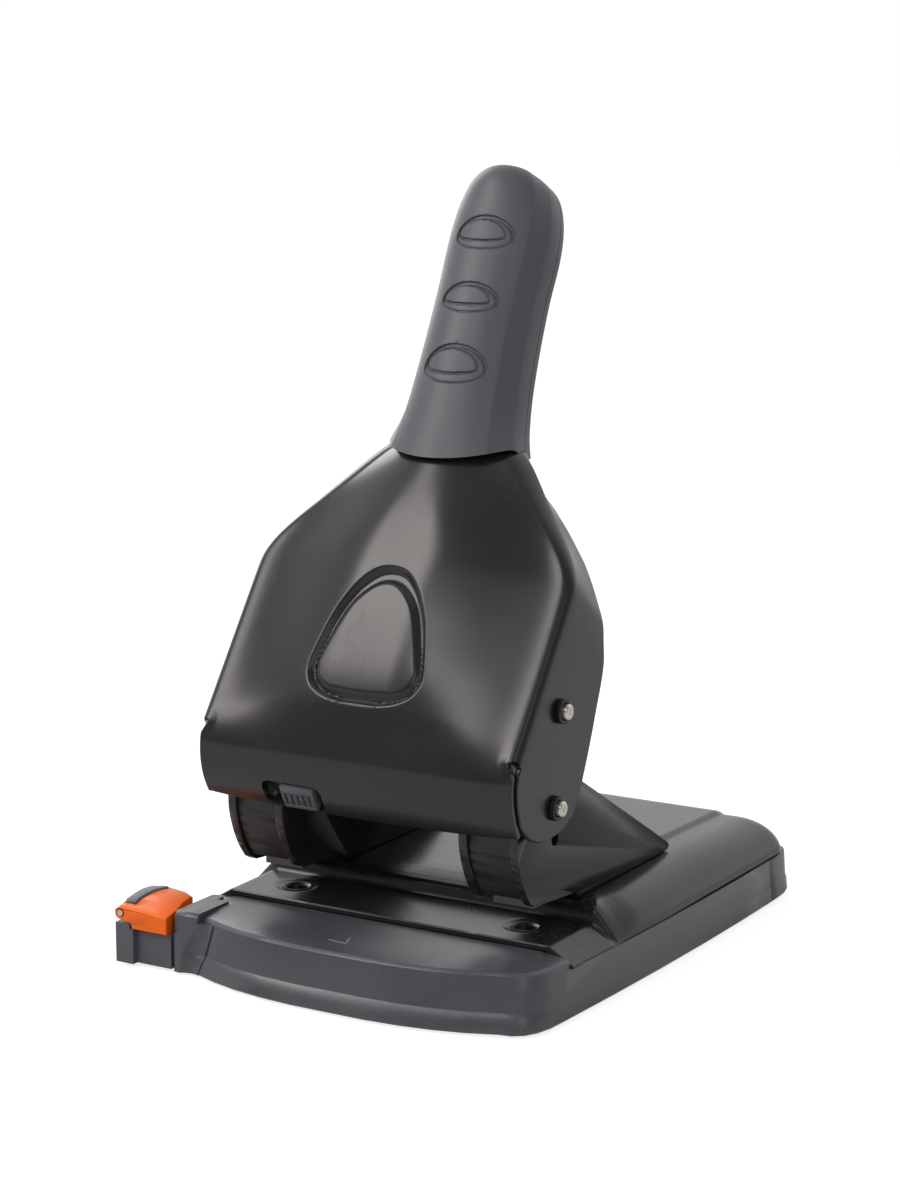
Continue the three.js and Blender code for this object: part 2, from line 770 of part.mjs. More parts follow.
// Least clear distance between neighbouring curls, measured between the tube's own points
function leastCurlGap(geometry) {
  const position = geometry.attributes.position;
  const point = new THREE.Vector3();
  const other = new THREE.Vector3();
  const farEnough = (springSteps * springSides) / 2;
  let least = Infinity;
  for (let first = 0; first < position.count; first += 1) {
    point.fromBufferAttribute(position, first);
    for (let second = first + farEnough; second < position.count; second += 1) {
      least = Math.min(least, point.distanceTo(other.fromBufferAttribute(position, second)));
    }
  }
  return least;
}

for (const [side, x] of [["left", -bracketX], ["right", bracketX]]) {
  addPiece(`bracket_${side}`, buildBracket(x), satinBlack);
  addPiece(`bracket_guard_${side}`, buildGuard(x), satinBlack);

  bracketScrewRows.forEach((y, place) => {
    const headBottom = bracketFoot + bracketWebThickness + restGap;
    const profile = [
      [0, deckTop - sheetThickness - deckBossDrop],
      [screwRadius, deckTop - sheetThickness - deckBossDrop],
      [screwRadius, headBottom],
      [screwHeadRadius, headBottom],
      [screwHeadRadius, headBottom + screwHeadHeight / 2],
      [screwRadius, headBottom + screwHeadHeight],
      [0, headBottom + screwHeadHeight],
    ];
    addPiece(`bracket_screw_${side}_${place + 1}`, turned(profile, x, y), darkSteel);
  });

  const half = bracketInnerWidth / 2 - restGap;
  const guideBlock = block(
    x - half,
    x + half,
    punchRowY - guideBlockDepth / 2,
    punchRowY + guideBlockDepth / 2,
    guideBlockBottom,
    guideBlockTop,
  );
  const bore = barAlongZ(
    punchRadius + restGap,
    x,
    punchRowY,
    guideBlockBottom - cutOverrun,
    guideBlockTop + cutOverrun,
  );
  addPiece(`punch_guide_${side}`, without(solidOf(guideBlock), bore), darkSteel);

  const punchProfile = [
    [0, punchBottom + punchBevel],
    [punchRadius - punchBevel, punchBottom],
    [punchRadius, punchBottom],
    [punchRadius, punchTop - punchBevel],
    [punchRadius - punchBevel, punchTop],
    [0, punchTop],
  ];
  const pinHole = barAlongX(crossPinRadius + restGap, x - half, x + half, punchRowY, crossPinRest);
  addPiece(`punch_pin_${side}`, without(solidOf(turned(punchProfile, x, punchRowY)), pinHole), brightSteel);
  const crossPin = barAlongX(
    crossPinRadius,
    x - crossPinHalfLength,
    x + crossPinHalfLength,
    punchRowY,
    crossPinRest,
  );
  addPiece(`cross_pin_${side}`, crossPin, brightSteel);

  const collar = barAlongZ(collarRadius, x, punchRowY, collarTop - collarThickness, collarTop);
  const collarBore = barAlongZ(
    punchRadius + restGap,
    x,
    punchRowY,
    collarTop - collarThickness - cutOverrun,
    collarTop + cutOverrun,
  );
  addPiece(`spring_collar_${side}`, without(solidOf(collar), collarBore), darkSteel);

  const spring = springTube(x, punchRowY, guideBlockTop + restGap, collarTop - collarThickness - restGap);
  addPiece(`return_spring_${side}`, spring, springSteel);
  console.log(`return_spring_${side} least gap between curls ${leastCurlGap(spring).toFixed(2)} mm`);
}

// Shafts, washers and rings along the two cross axes of the lever
const tieShaftY = pivotY + tieShaftAhead;
const tieShaftHeight = pivotHeight + tieShaftAbove;
const shaftHalfLength = leverHalfWidth + shaftOverhang;
const shaftDome = 0.8;
const ringRadius = 3.7;
const ringThickness = 1.2;
const washerRadius = 5;
const washerThickness = 0.8;

// Turned piece along X: profile of radius and distance along X
function turnedAlongX(profile, y, z) {
  const points = profile.map(([radius, along]) => new THREE.Vector2(radius, along));
  return new THREE.LatheGeometry(points, roundSides).rotateZ(-Math.PI / 2).translate(0, y, z);
}

function ringAlongX(outerRadius, fromX, toX, y, z) {
  const bore = shaftRadius + shaftClearance;
  const profile = [
    [bore, fromX],
    [outerRadius, fromX],
    [outerRadius, toX],
    [bore, toX],
    [bore, fromX],
  ];
  return turnedAlongX(profile, y, z);
}

for (const [name, y, z] of [["pivot", pivotY, pivotHeight], ["tie", tieShaftY, tieShaftHeight]]) {
  const profile = [
    [0, -shaftHalfLength],
    [shaftRadius - shaftDome, -shaftHalfLength],
    [shaftRadius, -shaftHalfLength + shaftDome],
    [shaftRadius, shaftHalfLength - shaftDome],
    [shaftRadius - shaftDome, shaftHalfLength],
    [0, shaftHalfLength],
  ];
  addPiece(`${name}_shaft`, turnedAlongX(profile, y, z), brightSteel);
  const near = leverHalfWidth + restGap;
  const far = near + ringThickness;
  addPiece(`${name}_ring_left`, ringAlongX(ringRadius, -far, -near, y, z), darkSteel);
  addPiece(`${name}_ring_right`, ringAlongX(ringRadius, near, far, y, z), darkSteel);
}

const washerNear = bracketX + bracketInnerWidth / 2 + bracketPlate + restGap;
const washerFar = washerNear + washerThickness;
addPiece(
  "pivot_washer_left",
  ringAlongX(washerRadius, -washerFar, -washerNear, pivotY, pivotHeight),
  brightSteel,
);
addPiece(
  "pivot_washer_right",
  ringAlongX(washerRadius, washerNear, washerFar, pivotY, pivotHeight),
  brightSteel,
);

// Cam plates: the flank is an involute of the base circle, so the punch moves evenly with the lever
const camNear = punchRadius + restGap;
const camThickness = 2.3;
const camBossRadius = 5.2;
const camTieBossRadius = 5.5;
const camFlankMargin = THREE.MathUtils.degToRad(6);
const camFlankSteps = 12;
const camLift = crossPinRest + crossPinRadius + restGap - pivotHeight;
const camHeelStart = 5.6;
const camHeelTurn = THREE.MathUtils.degToRad(10);

function camFlankPoint(angle) {
  const reach = camBaseRadius * angle - camLift;
  const y = camBaseRadius * Math.cos(angle) + reach * Math.sin(angle);
  const z = camBaseRadius * Math.sin(angle) - reach * Math.cos(angle);
  return [pivotY + y, pivotHeight + z];
}

function camOutline() {
  const outline = new THREE.Shape();
  const tieLean = Math.atan2(tieShaftAbove, tieShaftAhead);
  outline.moveTo(pivotY + camHeelStart, pivotHeight + camLift);
  for (let step = 0; step <= camFlankSteps; step += 1) {
    outline.lineTo(...camFlankPoint(((leverSwing + camFlankMargin) * step) / camFlankSteps));
  }
  const rearAngle = tieLean - Math.PI / 2;
  outline.quadraticCurveTo(
    pivotY + camBaseRadius,
    pivotHeight + camBaseRadius,
    tieShaftY + camTieBossRadius * Math.cos(rearAngle),
    tieShaftHeight + camTieBossRadius * Math.sin(rearAngle),
  );
  outline.absarc(tieShaftY, tieShaftHeight, camTieBossRadius, rearAngle, rearAngle + Math.PI, false);
  outline.lineTo(
    pivotY - camBossRadius * Math.cos(rearAngle),
    pivotHeight - camBossRadius * Math.sin(rearAngle),
  );
  outline.absarc(pivotY, pivotHeight, camBossRadius, rearAngle + Math.PI, 2 * Math.PI - camHeelTurn, false);
  return outline;
}

function buildCam(fromX, toX) {
  const bore = shaftRadius + shaftClearance;
  return without(
    solidOf(extrudedAlongX(camOutline(), fromX, toX)),
    barAlongX(bore, fromX - cutOverrun, toX + cutOverrun, pivotY, pivotHeight),
    barAlongX(bore, fromX - cutOverrun, toX + cutOverrun, tieShaftY, tieShaftHeight),
  );
}

for (const [side, x] of [["left", -bracketX], ["right", bracketX]]) {
  addPiece(`cam_${side}_a`, buildCam(x - camNear - camThickness, x - camNear), darkSteel);
  addPiece(`cam_${side}_b`, buildCam(x + camNear, x + camNear + camThickness), darkSteel);
}

// Lever body: cross-sections stacked up the face from the crease above the front roll
const faceUp = new THREE.Vector3(0, Math.sin(faceLean), Math.cos(faceLean));
const faceIn = new THREE.Vector3(0, Math.cos(faceLean), -Math.sin(faceLean));
const creaseLine = new THREE.Vector3(0, creaseY, creaseZ);
const faceRows = [0, 5, 11, 19, 29, 40, 49, 54, 58, 62, 67, 73, 80, 87, 93.7, 94.7, 104];
const outlineHeights = [0, 46, 52, 56, 61, 69, 79, 83, 90, 93.7, 94.7, 104];
const outlineInsets = [0, 0, 0.4, 0.9, 3, 7.7, 17.3, 22.6, 29, 31.6, 36.8, 38.2];
const depthHeights = [0, 7, 16.5, 31.8, 45.9, 50, 56, 62, 66, 70, 75, 80, 94.2, 104];
const depthValues = [39.9, 40.2, 38.7, 34.9, 30.5, 27.8, 24, 19.2, 14.4, 10, 6.8, 5.6, 5, 5];
const crownHeights = [0, 10, 20, 35, 50, 65, 80, 95, 104];
const crownValues = [1.5, 5, 7.3, 9, 10, 10.3, 10.3, 9.9, 9.4];
const edgeLiftHeights = [0, 30, 48, 66, 82, 104];
const edgeLiftValues = [0, 0.5, 1, 1.9, 3, 3];
const foldHeights = [0, 50, 70, 94, 104];
const foldRadii = [2.8, 3, 4.2, 4.4, 4.5];
const insetAt = curveThrough(outlineHeights, outlineInsets);
const outlineAt = (up) => leverHalfWidth - Math.max(0, insetAt(up));
const depthAt = curveThrough(depthHeights, depthValues);
const crownAt = curveThrough(crownHeights, crownValues);
const edgeLiftAt = curveThrough(edgeLiftHeights, edgeLiftValues);
const foldAt = curveThrough(foldHeights, foldRadii);
const levelRowsFrom = 58;
const levelRowsAt = 92;
const crownPlateauShare = 0.16;
const faceShares = [0, 0.18, 0.38, 0.6, 0.82, 1];
const foldTurns = [0.36, 0.7, 1];
const flangeShares = [0.5, 1];

function facePoint(x, up, inward) {
  const level = THREE.MathUtils.smoothstep(up, levelRowsFrom, levelRowsAt) * Math.tan(faceLean);
  const point = creaseLine.clone().addScaledVector(faceUp, up + level * inward);
  return point.addScaledVector(faceIn, inward).setX(x);
}

function crownShare(share, up) {
  const round = THREE.MathUtils.smoothstep(up, levelRowsFrom, levelRowsAt);
  const ridge = 1 - THREE.MathUtils.smoothstep(share, crownPlateauShare, 1);
  return THREE.MathUtils.lerp(ridge, 1 - share ** 2, round);
}

// Half of one cross-section as x and depth behind the face plane, from the middle to the flange's edge
function faceSection(up) {
  const halfWidth = outlineAt(up);
  const fold = foldAt(up);
  const lift = edgeLiftAt(up);
  const points = faceShares.map((share) => [
    share * (halfWidth - fold),
    -THREE.MathUtils.lerp(lift, Math.max(lift, crownAt(up)), crownShare(share, up)),
  ]);
  for (const turn of foldTurns) {
    const angle = (turn * Math.PI) / 2;
    points.push([halfWidth - fold + fold * Math.sin(angle), fold - lift - fold * Math.cos(angle)]);
  }
  for (const share of flangeShares) {
    points.push([halfWidth, THREE.MathUtils.lerp(fold - lift, depthAt(up), share)]);
  }
  return points;
}

function mirrored(half, pointAt) {
  const right = half.map((entry) => pointAt(entry, 1));
  const left = half.slice(1).map((entry) => pointAt(entry, -1));
  return [...left.reverse(), ...right];
}

// Front roll: hangs from the crease and curls back under, lowest in the middle
const rollHalfWidth = 53;
const rollStart = THREE.MathUtils.degToRad(22);
const rollEndSide = THREE.MathUtils.degToRad(-34.5);
const rollEndMiddle = THREE.MathUtils.degToRad(-43);
const rollShares = [1, 0.85, 0.68, 0.5, 0.33, 0.16];

function rollAngle(across, share) {
  const end = THREE.MathUtils.lerp(rollEndMiddle, rollEndSide, across ** 2);
  return THREE.MathUtils.lerp(rollStart, end, share);
}

function rollPoint(x, share, offset = 0) {
  const across = Math.abs(x) / rollHalfWidth;
  const angle = rollAngle(across, share);
  const sectionX = across * (outlineAt(0) - foldAt(0));
  const point = facePoint(0, 0, -crownAt(0) * crownShare(across, 0)).setX(x);
  point.y += rollRadius * (Math.cos(rollStart) - Math.cos(angle));
  point.z -= rollRadius * (Math.sin(rollStart) - Math.sin(angle));
  point.y -= offset * Math.cos(angle);
  point.z += offset * Math.sin(angle);
  return share > 0 ? point : point.setX(Math.sign(x) * sectionX);
}

function leverGrid(inset) {
  const rollRows = rollShares.map((share) => {
    const half = faceSection(0).map((_, place) => faceShares[Math.min(place, faceShares.length - 1)]);
    return mirrored(half, (across, side) => rollPoint(side * across * rollHalfWidth, share, -inset));
  });
  const upperRows = faceRows.map((up) =>
    mirrored(faceSection(up), ([x, depth], side) => facePoint(side * x, up, depth + inset)),
  );
  return [...rollRows, ...upperRows];
}

function leverSheet(inset = 0, thickness = sheetThickness) {
  const grid = leverGrid(inset);
  const middle = (grid[0].length - 1) / 2;
  const faceReach = faceShares.length - 1;
  const isFace = (column) => column >= middle - faceReach && column < middle + faceReach;
  return solidOf(pressedSheet(grid, thickness, (row, column) => row >= rollShares.length || isFace(column)));
}

// Lobe of the side flange below the crease, as distance up the face and depth behind it
const lobePoints = [
  [4, 4],
  [0, 3.2],
  [-3.6, 3.9],
  [-6.8, 5.9],
  [-9.7, 8.4],
  [-12, 11.3],
  [-13.8, 14.6],
  [-13.9, 23.1],
  [-9.9, 31.1],
  [-2.2, 38.4],
  [7, 40.2],
];
const lobeTop = 12;
const lobeTopDepths = [39.3, 6];

function lobeOutline() {
  const points = lobePoints.map(([up, inward]) => {
    const point = facePoint(0, up, inward);
    return new THREE.Vector2(point.y, point.z);
  });
  const top = lobeTopDepths.map((inward) => facePoint(0, lobeTop, inward));
  const outline = new THREE.Shape();
  outline.moveTo(points[0].x, points[0].y);
  outline.splineThru(points.slice(1));
  top.forEach((point) => outline.lineTo(point.y, point.z));
  return outline;
}

// Rounded triangle pressed into the face: half outlines as x and distance up the face
const grooveDepth = 0.8;
const grooveOuter = [
  [0, 9.2],
  [6, 9.3],
  [12, 10.4],
  [16.6, 12.9],
  [19, 16.5],
  [19.3, 21],
  [16.2, 34],
  [12.6, 42],
  [9.2, 46.8],
  [5, 50.3],
  [0, 51.4],
];
const grooveInner = [
  [0, 13],
  [6, 12.9],
  [11, 13.6],
  [14.6, 15.6],
  [15.9, 18.6],
  [15.6, 22.5],
  [11, 36],
  [7.4, 41.6],
  [3.6, 44.9],
  [0, 45.9],
];

// Closed outline from its right half, which starts and ends on the centre line
function twoSided(half) {
  const left = half.slice(1, -1).reverse().map(([x, up]) => [-x, up]);
  return new THREE.Shape([...half, ...left].map(([x, up]) => new THREE.Vector2(x, up)));
}

function facePrism(outline) {
  const depth = 2 * (domeRise + sheetThickness);
  const options = { depth, bevelEnabled: false, curveSegments: curveSteps };
  const frame = new THREE.Matrix4().makeBasis(xAxis, faceUp, faceIn.clone().negate());
  const base = creaseLine.clone().addScaledVector(faceIn, 2 * sheetThickness);
  return new THREE.ExtrudeGeometry(outline, options).applyMatrix4(frame).translate(base.x, base.y, base.z);
}

// Tang that carries the grip
const tangHalfWidth = 7;
const tangThickness = 3;
const tangBottom = 152.4;
const tangTop = 216;
const tangFromCrown = 5.7;
const gripRise = Math.tan(gripLean);
const gripCrownY = gripSideY - gripCrown;
const gripLineY = (z) => gripCrownY + (z - gripBottom) * gripRise;

function tang() {
  const outline = new THREE.Shape();
  const half = tangThickness / 2;
  const middle = (z) => gripLineY(z) + tangFromCrown;
  outline.moveTo(middle(tangBottom) - half, tangBottom);
  outline.lineTo(middle(tangBottom) + half, tangBottom);
  outline.lineTo(middle(tangTop) + half, tangTop);
  outline.lineTo(middle(tangTop) - half, tangTop);
  return extrudedAlongX(outline, -tangHalfWidth, tangHalfWidth);
}

// Bar square to the grip's length, at a height and between two depths behind its side line
const gripScrewHeights = [172, 206];
const gripScrewRadius = 1.6;

function acrossGrip(radius, height, from, to) {
  const bar = new THREE.CylinderGeometry(radius, radius, to - from, smallSides);
  const gripIn = new THREE.Vector3(0, Math.cos(gripLean), -Math.sin(gripLean));
  const frame = new THREE.Matrix4().makeBasis(xAxis, gripIn, xAxis.clone().cross(gripIn));
  const middle = (from + to) / 2;
  const lineY = gripSideY + (height - gripBottom) * gripRise;
  return bar.applyMatrix4(frame).translate(0, lineY + gripIn.y * middle, height + gripIn.z * middle);
}

const reliefRadius = 1.5;
const reliefDepth = 8;
const reliefX = leverHalfWidth - 0.9;
const reliefUp = -0.6;
const lockSlotLeft = -31.5;
const lockSlotRight = -12.6;
const lockSlotShares = [0.62, 0.94];

function alongFaceIn(radius, x, up, from, to) {
  const bar = new THREE.CylinderGeometry(radius, radius, to - from, roundSides);
  const frame = new THREE.Matrix4().makeBasis(xAxis, faceIn, xAxis.clone().cross(faceIn));
  const middle = creaseLine.clone().addScaledVector(faceUp, up).addScaledVector(faceIn, (from + to) / 2);
  return bar.applyMatrix4(frame).translate(x, middle.y, middle.z);
}

// Band following the roll between two shares of its arc and two offsets from its skin
function rollBand(fromX, toX, fromShare, toShare, fromOffset, toOffset, steps = curveSteps) {
  const at = (fromX + toX) / 2;
  const along = Array.from({ length: steps + 1 }, (_, step) =>
    THREE.MathUtils.lerp(fromShare, toShare, step / steps),
  );
  const outer = along.map((share) => rollPoint(at, share, toOffset));
  const inner = along.map((share) => rollPoint(at, share, fromOffset)).reverse();
  const outline = new THREE.Shape([...inner, ...outer].map((point) => new THREE.Vector2(point.y, point.z)));
  return extrudedAlongX(outline, fromX, toX);
}

function buildLever() {
  const sheet = leverSheet();
  const outer = solidOf(facePrism(twoSided(grooveOuter)));
  const ring = outer.subtract(solidOf(facePrism(twoSided(grooveInner))));
  const skin = leverSheet(-cutOverrun, cutOverrun + grooveDepth);
  let lever = sheet.subtract(ring.intersect(skin)).add(solidOf(tang()));
  for (const side of [-1, 1]) {
    const middle = side * (leverHalfWidth - sheetThickness / 2);
    const plate = extrudedAlongX(lobeOutline(), middle - sheetThickness / 2, middle + sheetThickness / 2);
    lever = lever.add(solidOf(plate));
    lever = without(lever, alongFaceIn(reliefRadius, side * reliefX, reliefUp, -reliefDepth, reliefDepth));
  }
  const reach = leverHalfWidth + cutOverrun;
  const bore = shaftRadius + shaftClearance;
  const cut = without(
    lever,
    barAlongX(bore, -reach, reach, pivotY, pivotHeight),
    barAlongX(bore, -reach, reach, tieShaftY, tieShaftHeight),
    rollBand(lockSlotLeft, lockSlotRight, ...lockSlotShares, -sheetThickness - cutOverrun, cutOverrun),
    ...gripScrewHeights.map((z) => acrossGrip(gripScrewRadius + restGap, z, -gripCrown, gripCrown)),
  );
  return largestBody(cut);
}

addPiece("lever_body", buildLever(), satinBlack);

// Sliding lock in the roll's slot, with its retaining plate behind the sheet
const lockFreeLength = 7;
const lockProud = 0.9;
const lockMargin = 0.45;
const lockRetainerThickness = 1.4;
const lockRetainerShares = [0.55, 0.98];
const lockPocketCount = 5;
const lockPocketDepth = 0.5;
const lockPocketShares = [0.34, 0.82];
const lockPocketSteps = 2;

function buildLock() {
  const left = lockSlotLeft + lockFreeLength + restGap;
  const right = lockSlotRight - restGap;
  const shareMargin = lockMargin / (rollRadius * (rollStart - rollEndMiddle));
  const from = lockSlotShares[0] + shareMargin;
  const to = lockSlotShares[1] - shareMargin;
  const behindSheet = -sheetThickness - 2 * restGap;
  let lock = joined(
    rollBand(left, right, from, to, behindSheet - lockRetainerThickness / 2, lockProud),
    rollBand(
      left - lockProud,
      right + lockProud,
      ...lockRetainerShares,
      behindSheet - lockRetainerThickness,
      behindSheet,
    ),
  );
  const pitch = (right - left) / (2 * lockPocketCount + 1);
  const pocketEnds = lockPocketShares.map((share) => THREE.MathUtils.lerp(from, to, share));
  for (let pocket = 0; pocket < lockPocketCount; pocket += 1) {
    const start = left + pitch * (2 * pocket + 1);
    const floor = lockProud - lockPocketDepth;
    const above = lockProud + cutOverrun;
    lock = without(lock, rollBand(start, start + pitch, ...pocketEnds, floor, above, lockPocketSteps));
  }
  return lock;
}

addPiece("lock_slider", buildLock(), slatePlastic);

// Grip: two hollow shells around the tang, from rings that turn square to the grip towards its top
const gripHeights = [0, 12, 26, 46, 60, 70, 76, 80, 81.7];
const gripWidthShares = [1.03, 0.935, 0.865, 0.825, 0.84, 0.775, 0.655, 0.45, 0.26];
const gripDepthShares = [1, 1, 1, 1, 1, 1, 0.93, 0.76, 0.42];
const gripTurnShares = [0, 0.18, 0.42, 0.8, 1, 1, 1, 1, 1];
const gripTopRings = 5;
const gripRingSteps = 6;
const gripBackSteps = 4;

function gripRing(place, inset, drop) {
  const z = gripBottom + gripHeights[place] - (place > gripTopRings ? inset : 0) - (place > 0 ? 0 : drop);
  const halfWidth = gripHalfWidth * gripWidthShares[place] - inset;
  const front = gripCrown * gripDepthShares[place] - inset;
  const side = gripSideDepth * gripDepthShares[place];
  const back = gripBackDepth * gripDepthShares[place] - inset;
  const points = [];
  const crownRadius = (halfWidth ** 2 + front ** 2) / (2 * front);
  const crownTurn = Math.asin(Math.min(1, halfWidth / crownRadius));
  for (let step = -gripRingSteps; step <= gripRingSteps; step += 1) {
    const turn = (crownTurn * step) / gripRingSteps;
    points.push([crownRadius * Math.sin(turn), crownRadius - front - crownRadius * Math.cos(turn)]);
  }
  for (let step = 0; step <= 2 * gripBackSteps; step += 1) {
    const turn = (Math.PI * step) / (2 * gripBackSteps);
    const across = Math.sign(Math.cos(turn)) * Math.sqrt(Math.abs(Math.cos(turn)));
    points.push([halfWidth * across, side + back * Math.sqrt(Math.sin(turn))]);
  }
  const tilt = gripRise * gripTurnShares[place];
  return points.map(([x, depth]) => {
    const across = depth / (1 + gripRise * tilt);
    return new THREE.Vector3(x, gripSideY + (z - gripBottom) * gripRise + across, z - tilt * across);
  });
}

function gripLoft(inset, drop = 0) {
  return lofted(gripHeights.map((_, place) => gripRing(place, inset, drop)));
}

// Everything in front of the seam plane, moved back by a shift
function beforeSeam(shift) {
  const seam = (z) => gripSideY + gripSideDepth + (z - gripBottom) * gripRise + shift;
  const bottom = gripBottom - 2 * cutOverrun;
  const top = gripTop + 2 * cutOverrun;
  const outline = new THREE.Shape();
  outline.moveTo(-farAway, bottom);
  outline.lineTo(seam(bottom), bottom);
  outline.lineTo(seam(top), top);
  outline.lineTo(-farAway, top);
  return solidOf(extrudedAlongX(outline, -farAway, farAway));
}

// Half-moon marks on the grip's crown: middle, half width and height of each
const moonMarks = [
  [179.5, 10.3, 12.6],
  [198.6, 9, 9.7],
  [217.2, 9.1, 11],
];
const moonDepth = 0.5;
const moonLine = 1.3;
const moonDomeShare = 0.7;

function moonPrism(height, halfWidth, tall) {
  const outline = new THREE.Shape();
  const dome = tall * moonDomeShare;
  outline.absellipse(0, 0, halfWidth, dome, 0, Math.PI, false, 0);
  outline.quadraticCurveTo(0, 2 * (dome - tall), halfWidth, 0);
  const gripUp = new THREE.Vector3(0, Math.sin(gripLean), Math.cos(gripLean));
  const frame = new THREE.Matrix4().makeBasis(xAxis, gripUp, xAxis.clone().cross(gripUp));
  const options = { depth: 2 * gripCrown, bevelEnabled: false, curveSegments: curveSteps };
  // The mark's middle lies on the crown, which the prism leaves at the height of its side line
  const lower = height - gripCrown * Math.sin(gripLean) * Math.cos(gripLean) - (tall / 2 - (tall - dome));
  return new THREE.ExtrudeGeometry(outline, options)
    .applyMatrix4(frame)
    .translate(0, gripSideY + (lower - gripBottom) * gripRise, lower);
}

const gripBossRadius = 3.6;
const gripScrewHeadRadius = 3;
const gripScrewHeadHeight = 1.8;
const gripScrewFront = -8.4;
const gripScrewHeadFrom = 8.6;
const tangClearance = 0.4;

function buildGrip() {
  const outer = solidOf(gripLoft(0));
  const shell = outer.subtract(solidOf(gripLoft(gripWall, cutOverrun)));
  const tangMiddle = (tangFromCrown - gripCrown) * Math.cos(gripLean);
  const tangFront = tangMiddle - tangThickness / 2 - tangClearance;
  const tangRear = tangMiddle + tangThickness / 2 + tangClearance;
  const bore = gripScrewRadius + restGap;
  let front = shell.intersect(beforeSeam(-restGap / 2));
  let rear = shell.subtract(beforeSeam(restGap / 2));
  for (const z of gripScrewHeights) {
    front = front.add(solidOf(acrossGrip(gripBossRadius, z, -gripCrown, tangFront)).intersect(outer));
    front = without(front, acrossGrip(bore, z, gripScrewFront - restGap, tangFront + cutOverrun));
    rear = rear.add(solidOf(acrossGrip(gripBossRadius, z, tangRear, farAway)).intersect(outer));
    rear = without(
      rear,
      acrossGrip(bore, z, tangRear - cutOverrun, farAway),
      acrossGrip(gripScrewHeadRadius + restGap, z, gripScrewHeadFrom - restGap, farAway),
    );
  }
  const keep = solidOf(gripLoft(moonDepth));
  for (const [height, halfWidth, tall] of moonMarks) {
    const line = solidOf(moonPrism(height, halfWidth, tall)).subtract(
      solidOf(moonPrism(height, halfWidth - moonLine, tall - 2 * moonLine)),
    );
    front = front.subtract(line.subtract(keep));
  }
  return { front: largestBody(front), rear: largestBody(rear) };
}

const grip = buildGrip();
addPiece("grip_front", grip.front, slatePlastic);
addPiece("grip_rear", grip.rear, slatePlastic);
gripScrewHeights.forEach((z, place) => {
  const screw = joined(
    acrossGrip(gripScrewRadius, z, gripScrewFront, gripScrewHeadFrom + gripScrewHeadHeight / 2),
    acrossGrip(gripScrewHeadRadius, z, gripScrewHeadFrom, gripScrewHeadFrom + gripScrewHeadHeight),
  );
  addPiece(`grip_screw_${place + 1}`, screw, darkSteel);
});

// Paper guide: an arm in the tray's bay, with an end block and a lug for the latch
const endBlockRight = -73;
const endBlockFront = -85.4;
const endBlockRear = -67.4;
const endBlockBottom = 0.3;
const endBlockTop = 12.8;
const endBlockStepX = -74.2;
const latchPivotX = -77.6;
const latchPivotZ = 15.8;
const latchPinRadius = 1.05;
const latchRound = 2.1;
const lugRadius = 1.7;
const outerArmFront = -83.3;
const lugFront = -78.6;
const lugRear = -74.4;

function buildGuide() {
  const ledge = block(guideLeft, endBlockRight, endBlockFront, endBlockRear, endBlockBottom, guideTop);
  const step = block(guideLeft, endBlockStepX, endBlockFront, endBlockRear, guideBottom, endBlockTop);
  const outerEnd = housingLeft - restGap;
  const outerArm = block(endBlockStepX, outerEnd, outerArmFront, guideRear, endBlockBottom, guideTop);
  const arm = block(endBlockStepX, guideInnerEnd, guideFront, guideRear, guideBottom, guideTop);
  const lug = block(
    latchPivotX - lugRadius,
    latchPivotX + lugRadius,
    lugFront,
    lugRear,
    endBlockTop - cutOverrun,
    latchPivotZ,
  );
  const lugEye = barAlongY(lugRadius, latchPivotX, lugFront, lugRear, latchPivotZ);
  const bore = barAlongY(latchPinRadius + restGap, latchPivotX, -farAway, 0, latchPivotZ, smallSides);
  return without(joined(ledge, step, outerArm, arm, lug, lugEye), bore);
}

addPiece("guide_arm", buildGuide(), slatePlastic);

// Latch: sections from its front to its rear, whose top climbs towards the rear
const latchBottom = guideTop + restGap;
const latchStepBottom = endBlockTop + restGap;
const latchStepX = -73.9;
const latchShoulderX = -74;
const latchSlopeX = -66;
const latchArcFrom = THREE.MathUtils.degToRad(150);
const latchArcTo = THREE.MathUtils.degToRad(260);
const latchArcSteps = 5;
const latchRows = [-85.3, -84.6, -80, -74, -69, -68];
const latchRightAt = latchCurve(guideLeft, [18.7, 18.8, 18.6, 17, 16.3, 16.3]);
const latchRightTopAt = latchCurve(endBlockTop, [3.4, 4, 4.8, 5.6, 6, 5.6]);
const latchSlopeTopAt = latchCurve(endBlockTop, [4.1, 4.7, 5.9, 6.9, 7.2, 6.8]);
const latchShoulderTopAt = latchCurve(endBlockTop, [4.4, 5.1, 6.7, 8, 8, 7.4]);
const latchLeftTopAt = latchCurve(endBlockTop, [4.5, 5.2, 6.6, 7.3, 6.8, 6.2]);

function latchCurve(base, offsets) {
  return curveThrough(latchRows, offsets.map((offset) => base + offset));
}

function latchRing(y) {
  const points = [
    [latchRightAt(y), latchBottom],
    [latchRightAt(y), latchRightTopAt(y)],
    [latchSlopeX, latchSlopeTopAt(y)],
    [latchShoulderX, latchShoulderTopAt(y)],
    [latchPivotX, latchLeftTopAt(y)],
  ];
  for (let step = 0; step <= latchArcSteps; step += 1) {
    const turn = THREE.MathUtils.lerp(latchArcFrom, latchArcTo, step / latchArcSteps);
    points.push([latchPivotX + latchRound * Math.cos(turn), latchPivotZ + latchRound * Math.sin(turn)]);
  }
  points.push([latchStepX, latchStepBottom], [latchStepX + 2 * restGap, latchBottom]);
  return points.map(([x, z]) => new THREE.Vector3(x, z, -y));
}

// Grip pad let into the latch's crown
const padRows = [-82.4, -80, -77, -74, -69.4];
const padRightShares = [0, 0, 0.06, 0.17, 0.36];
const padThickness = 1.2;
const padProud = 0.5;

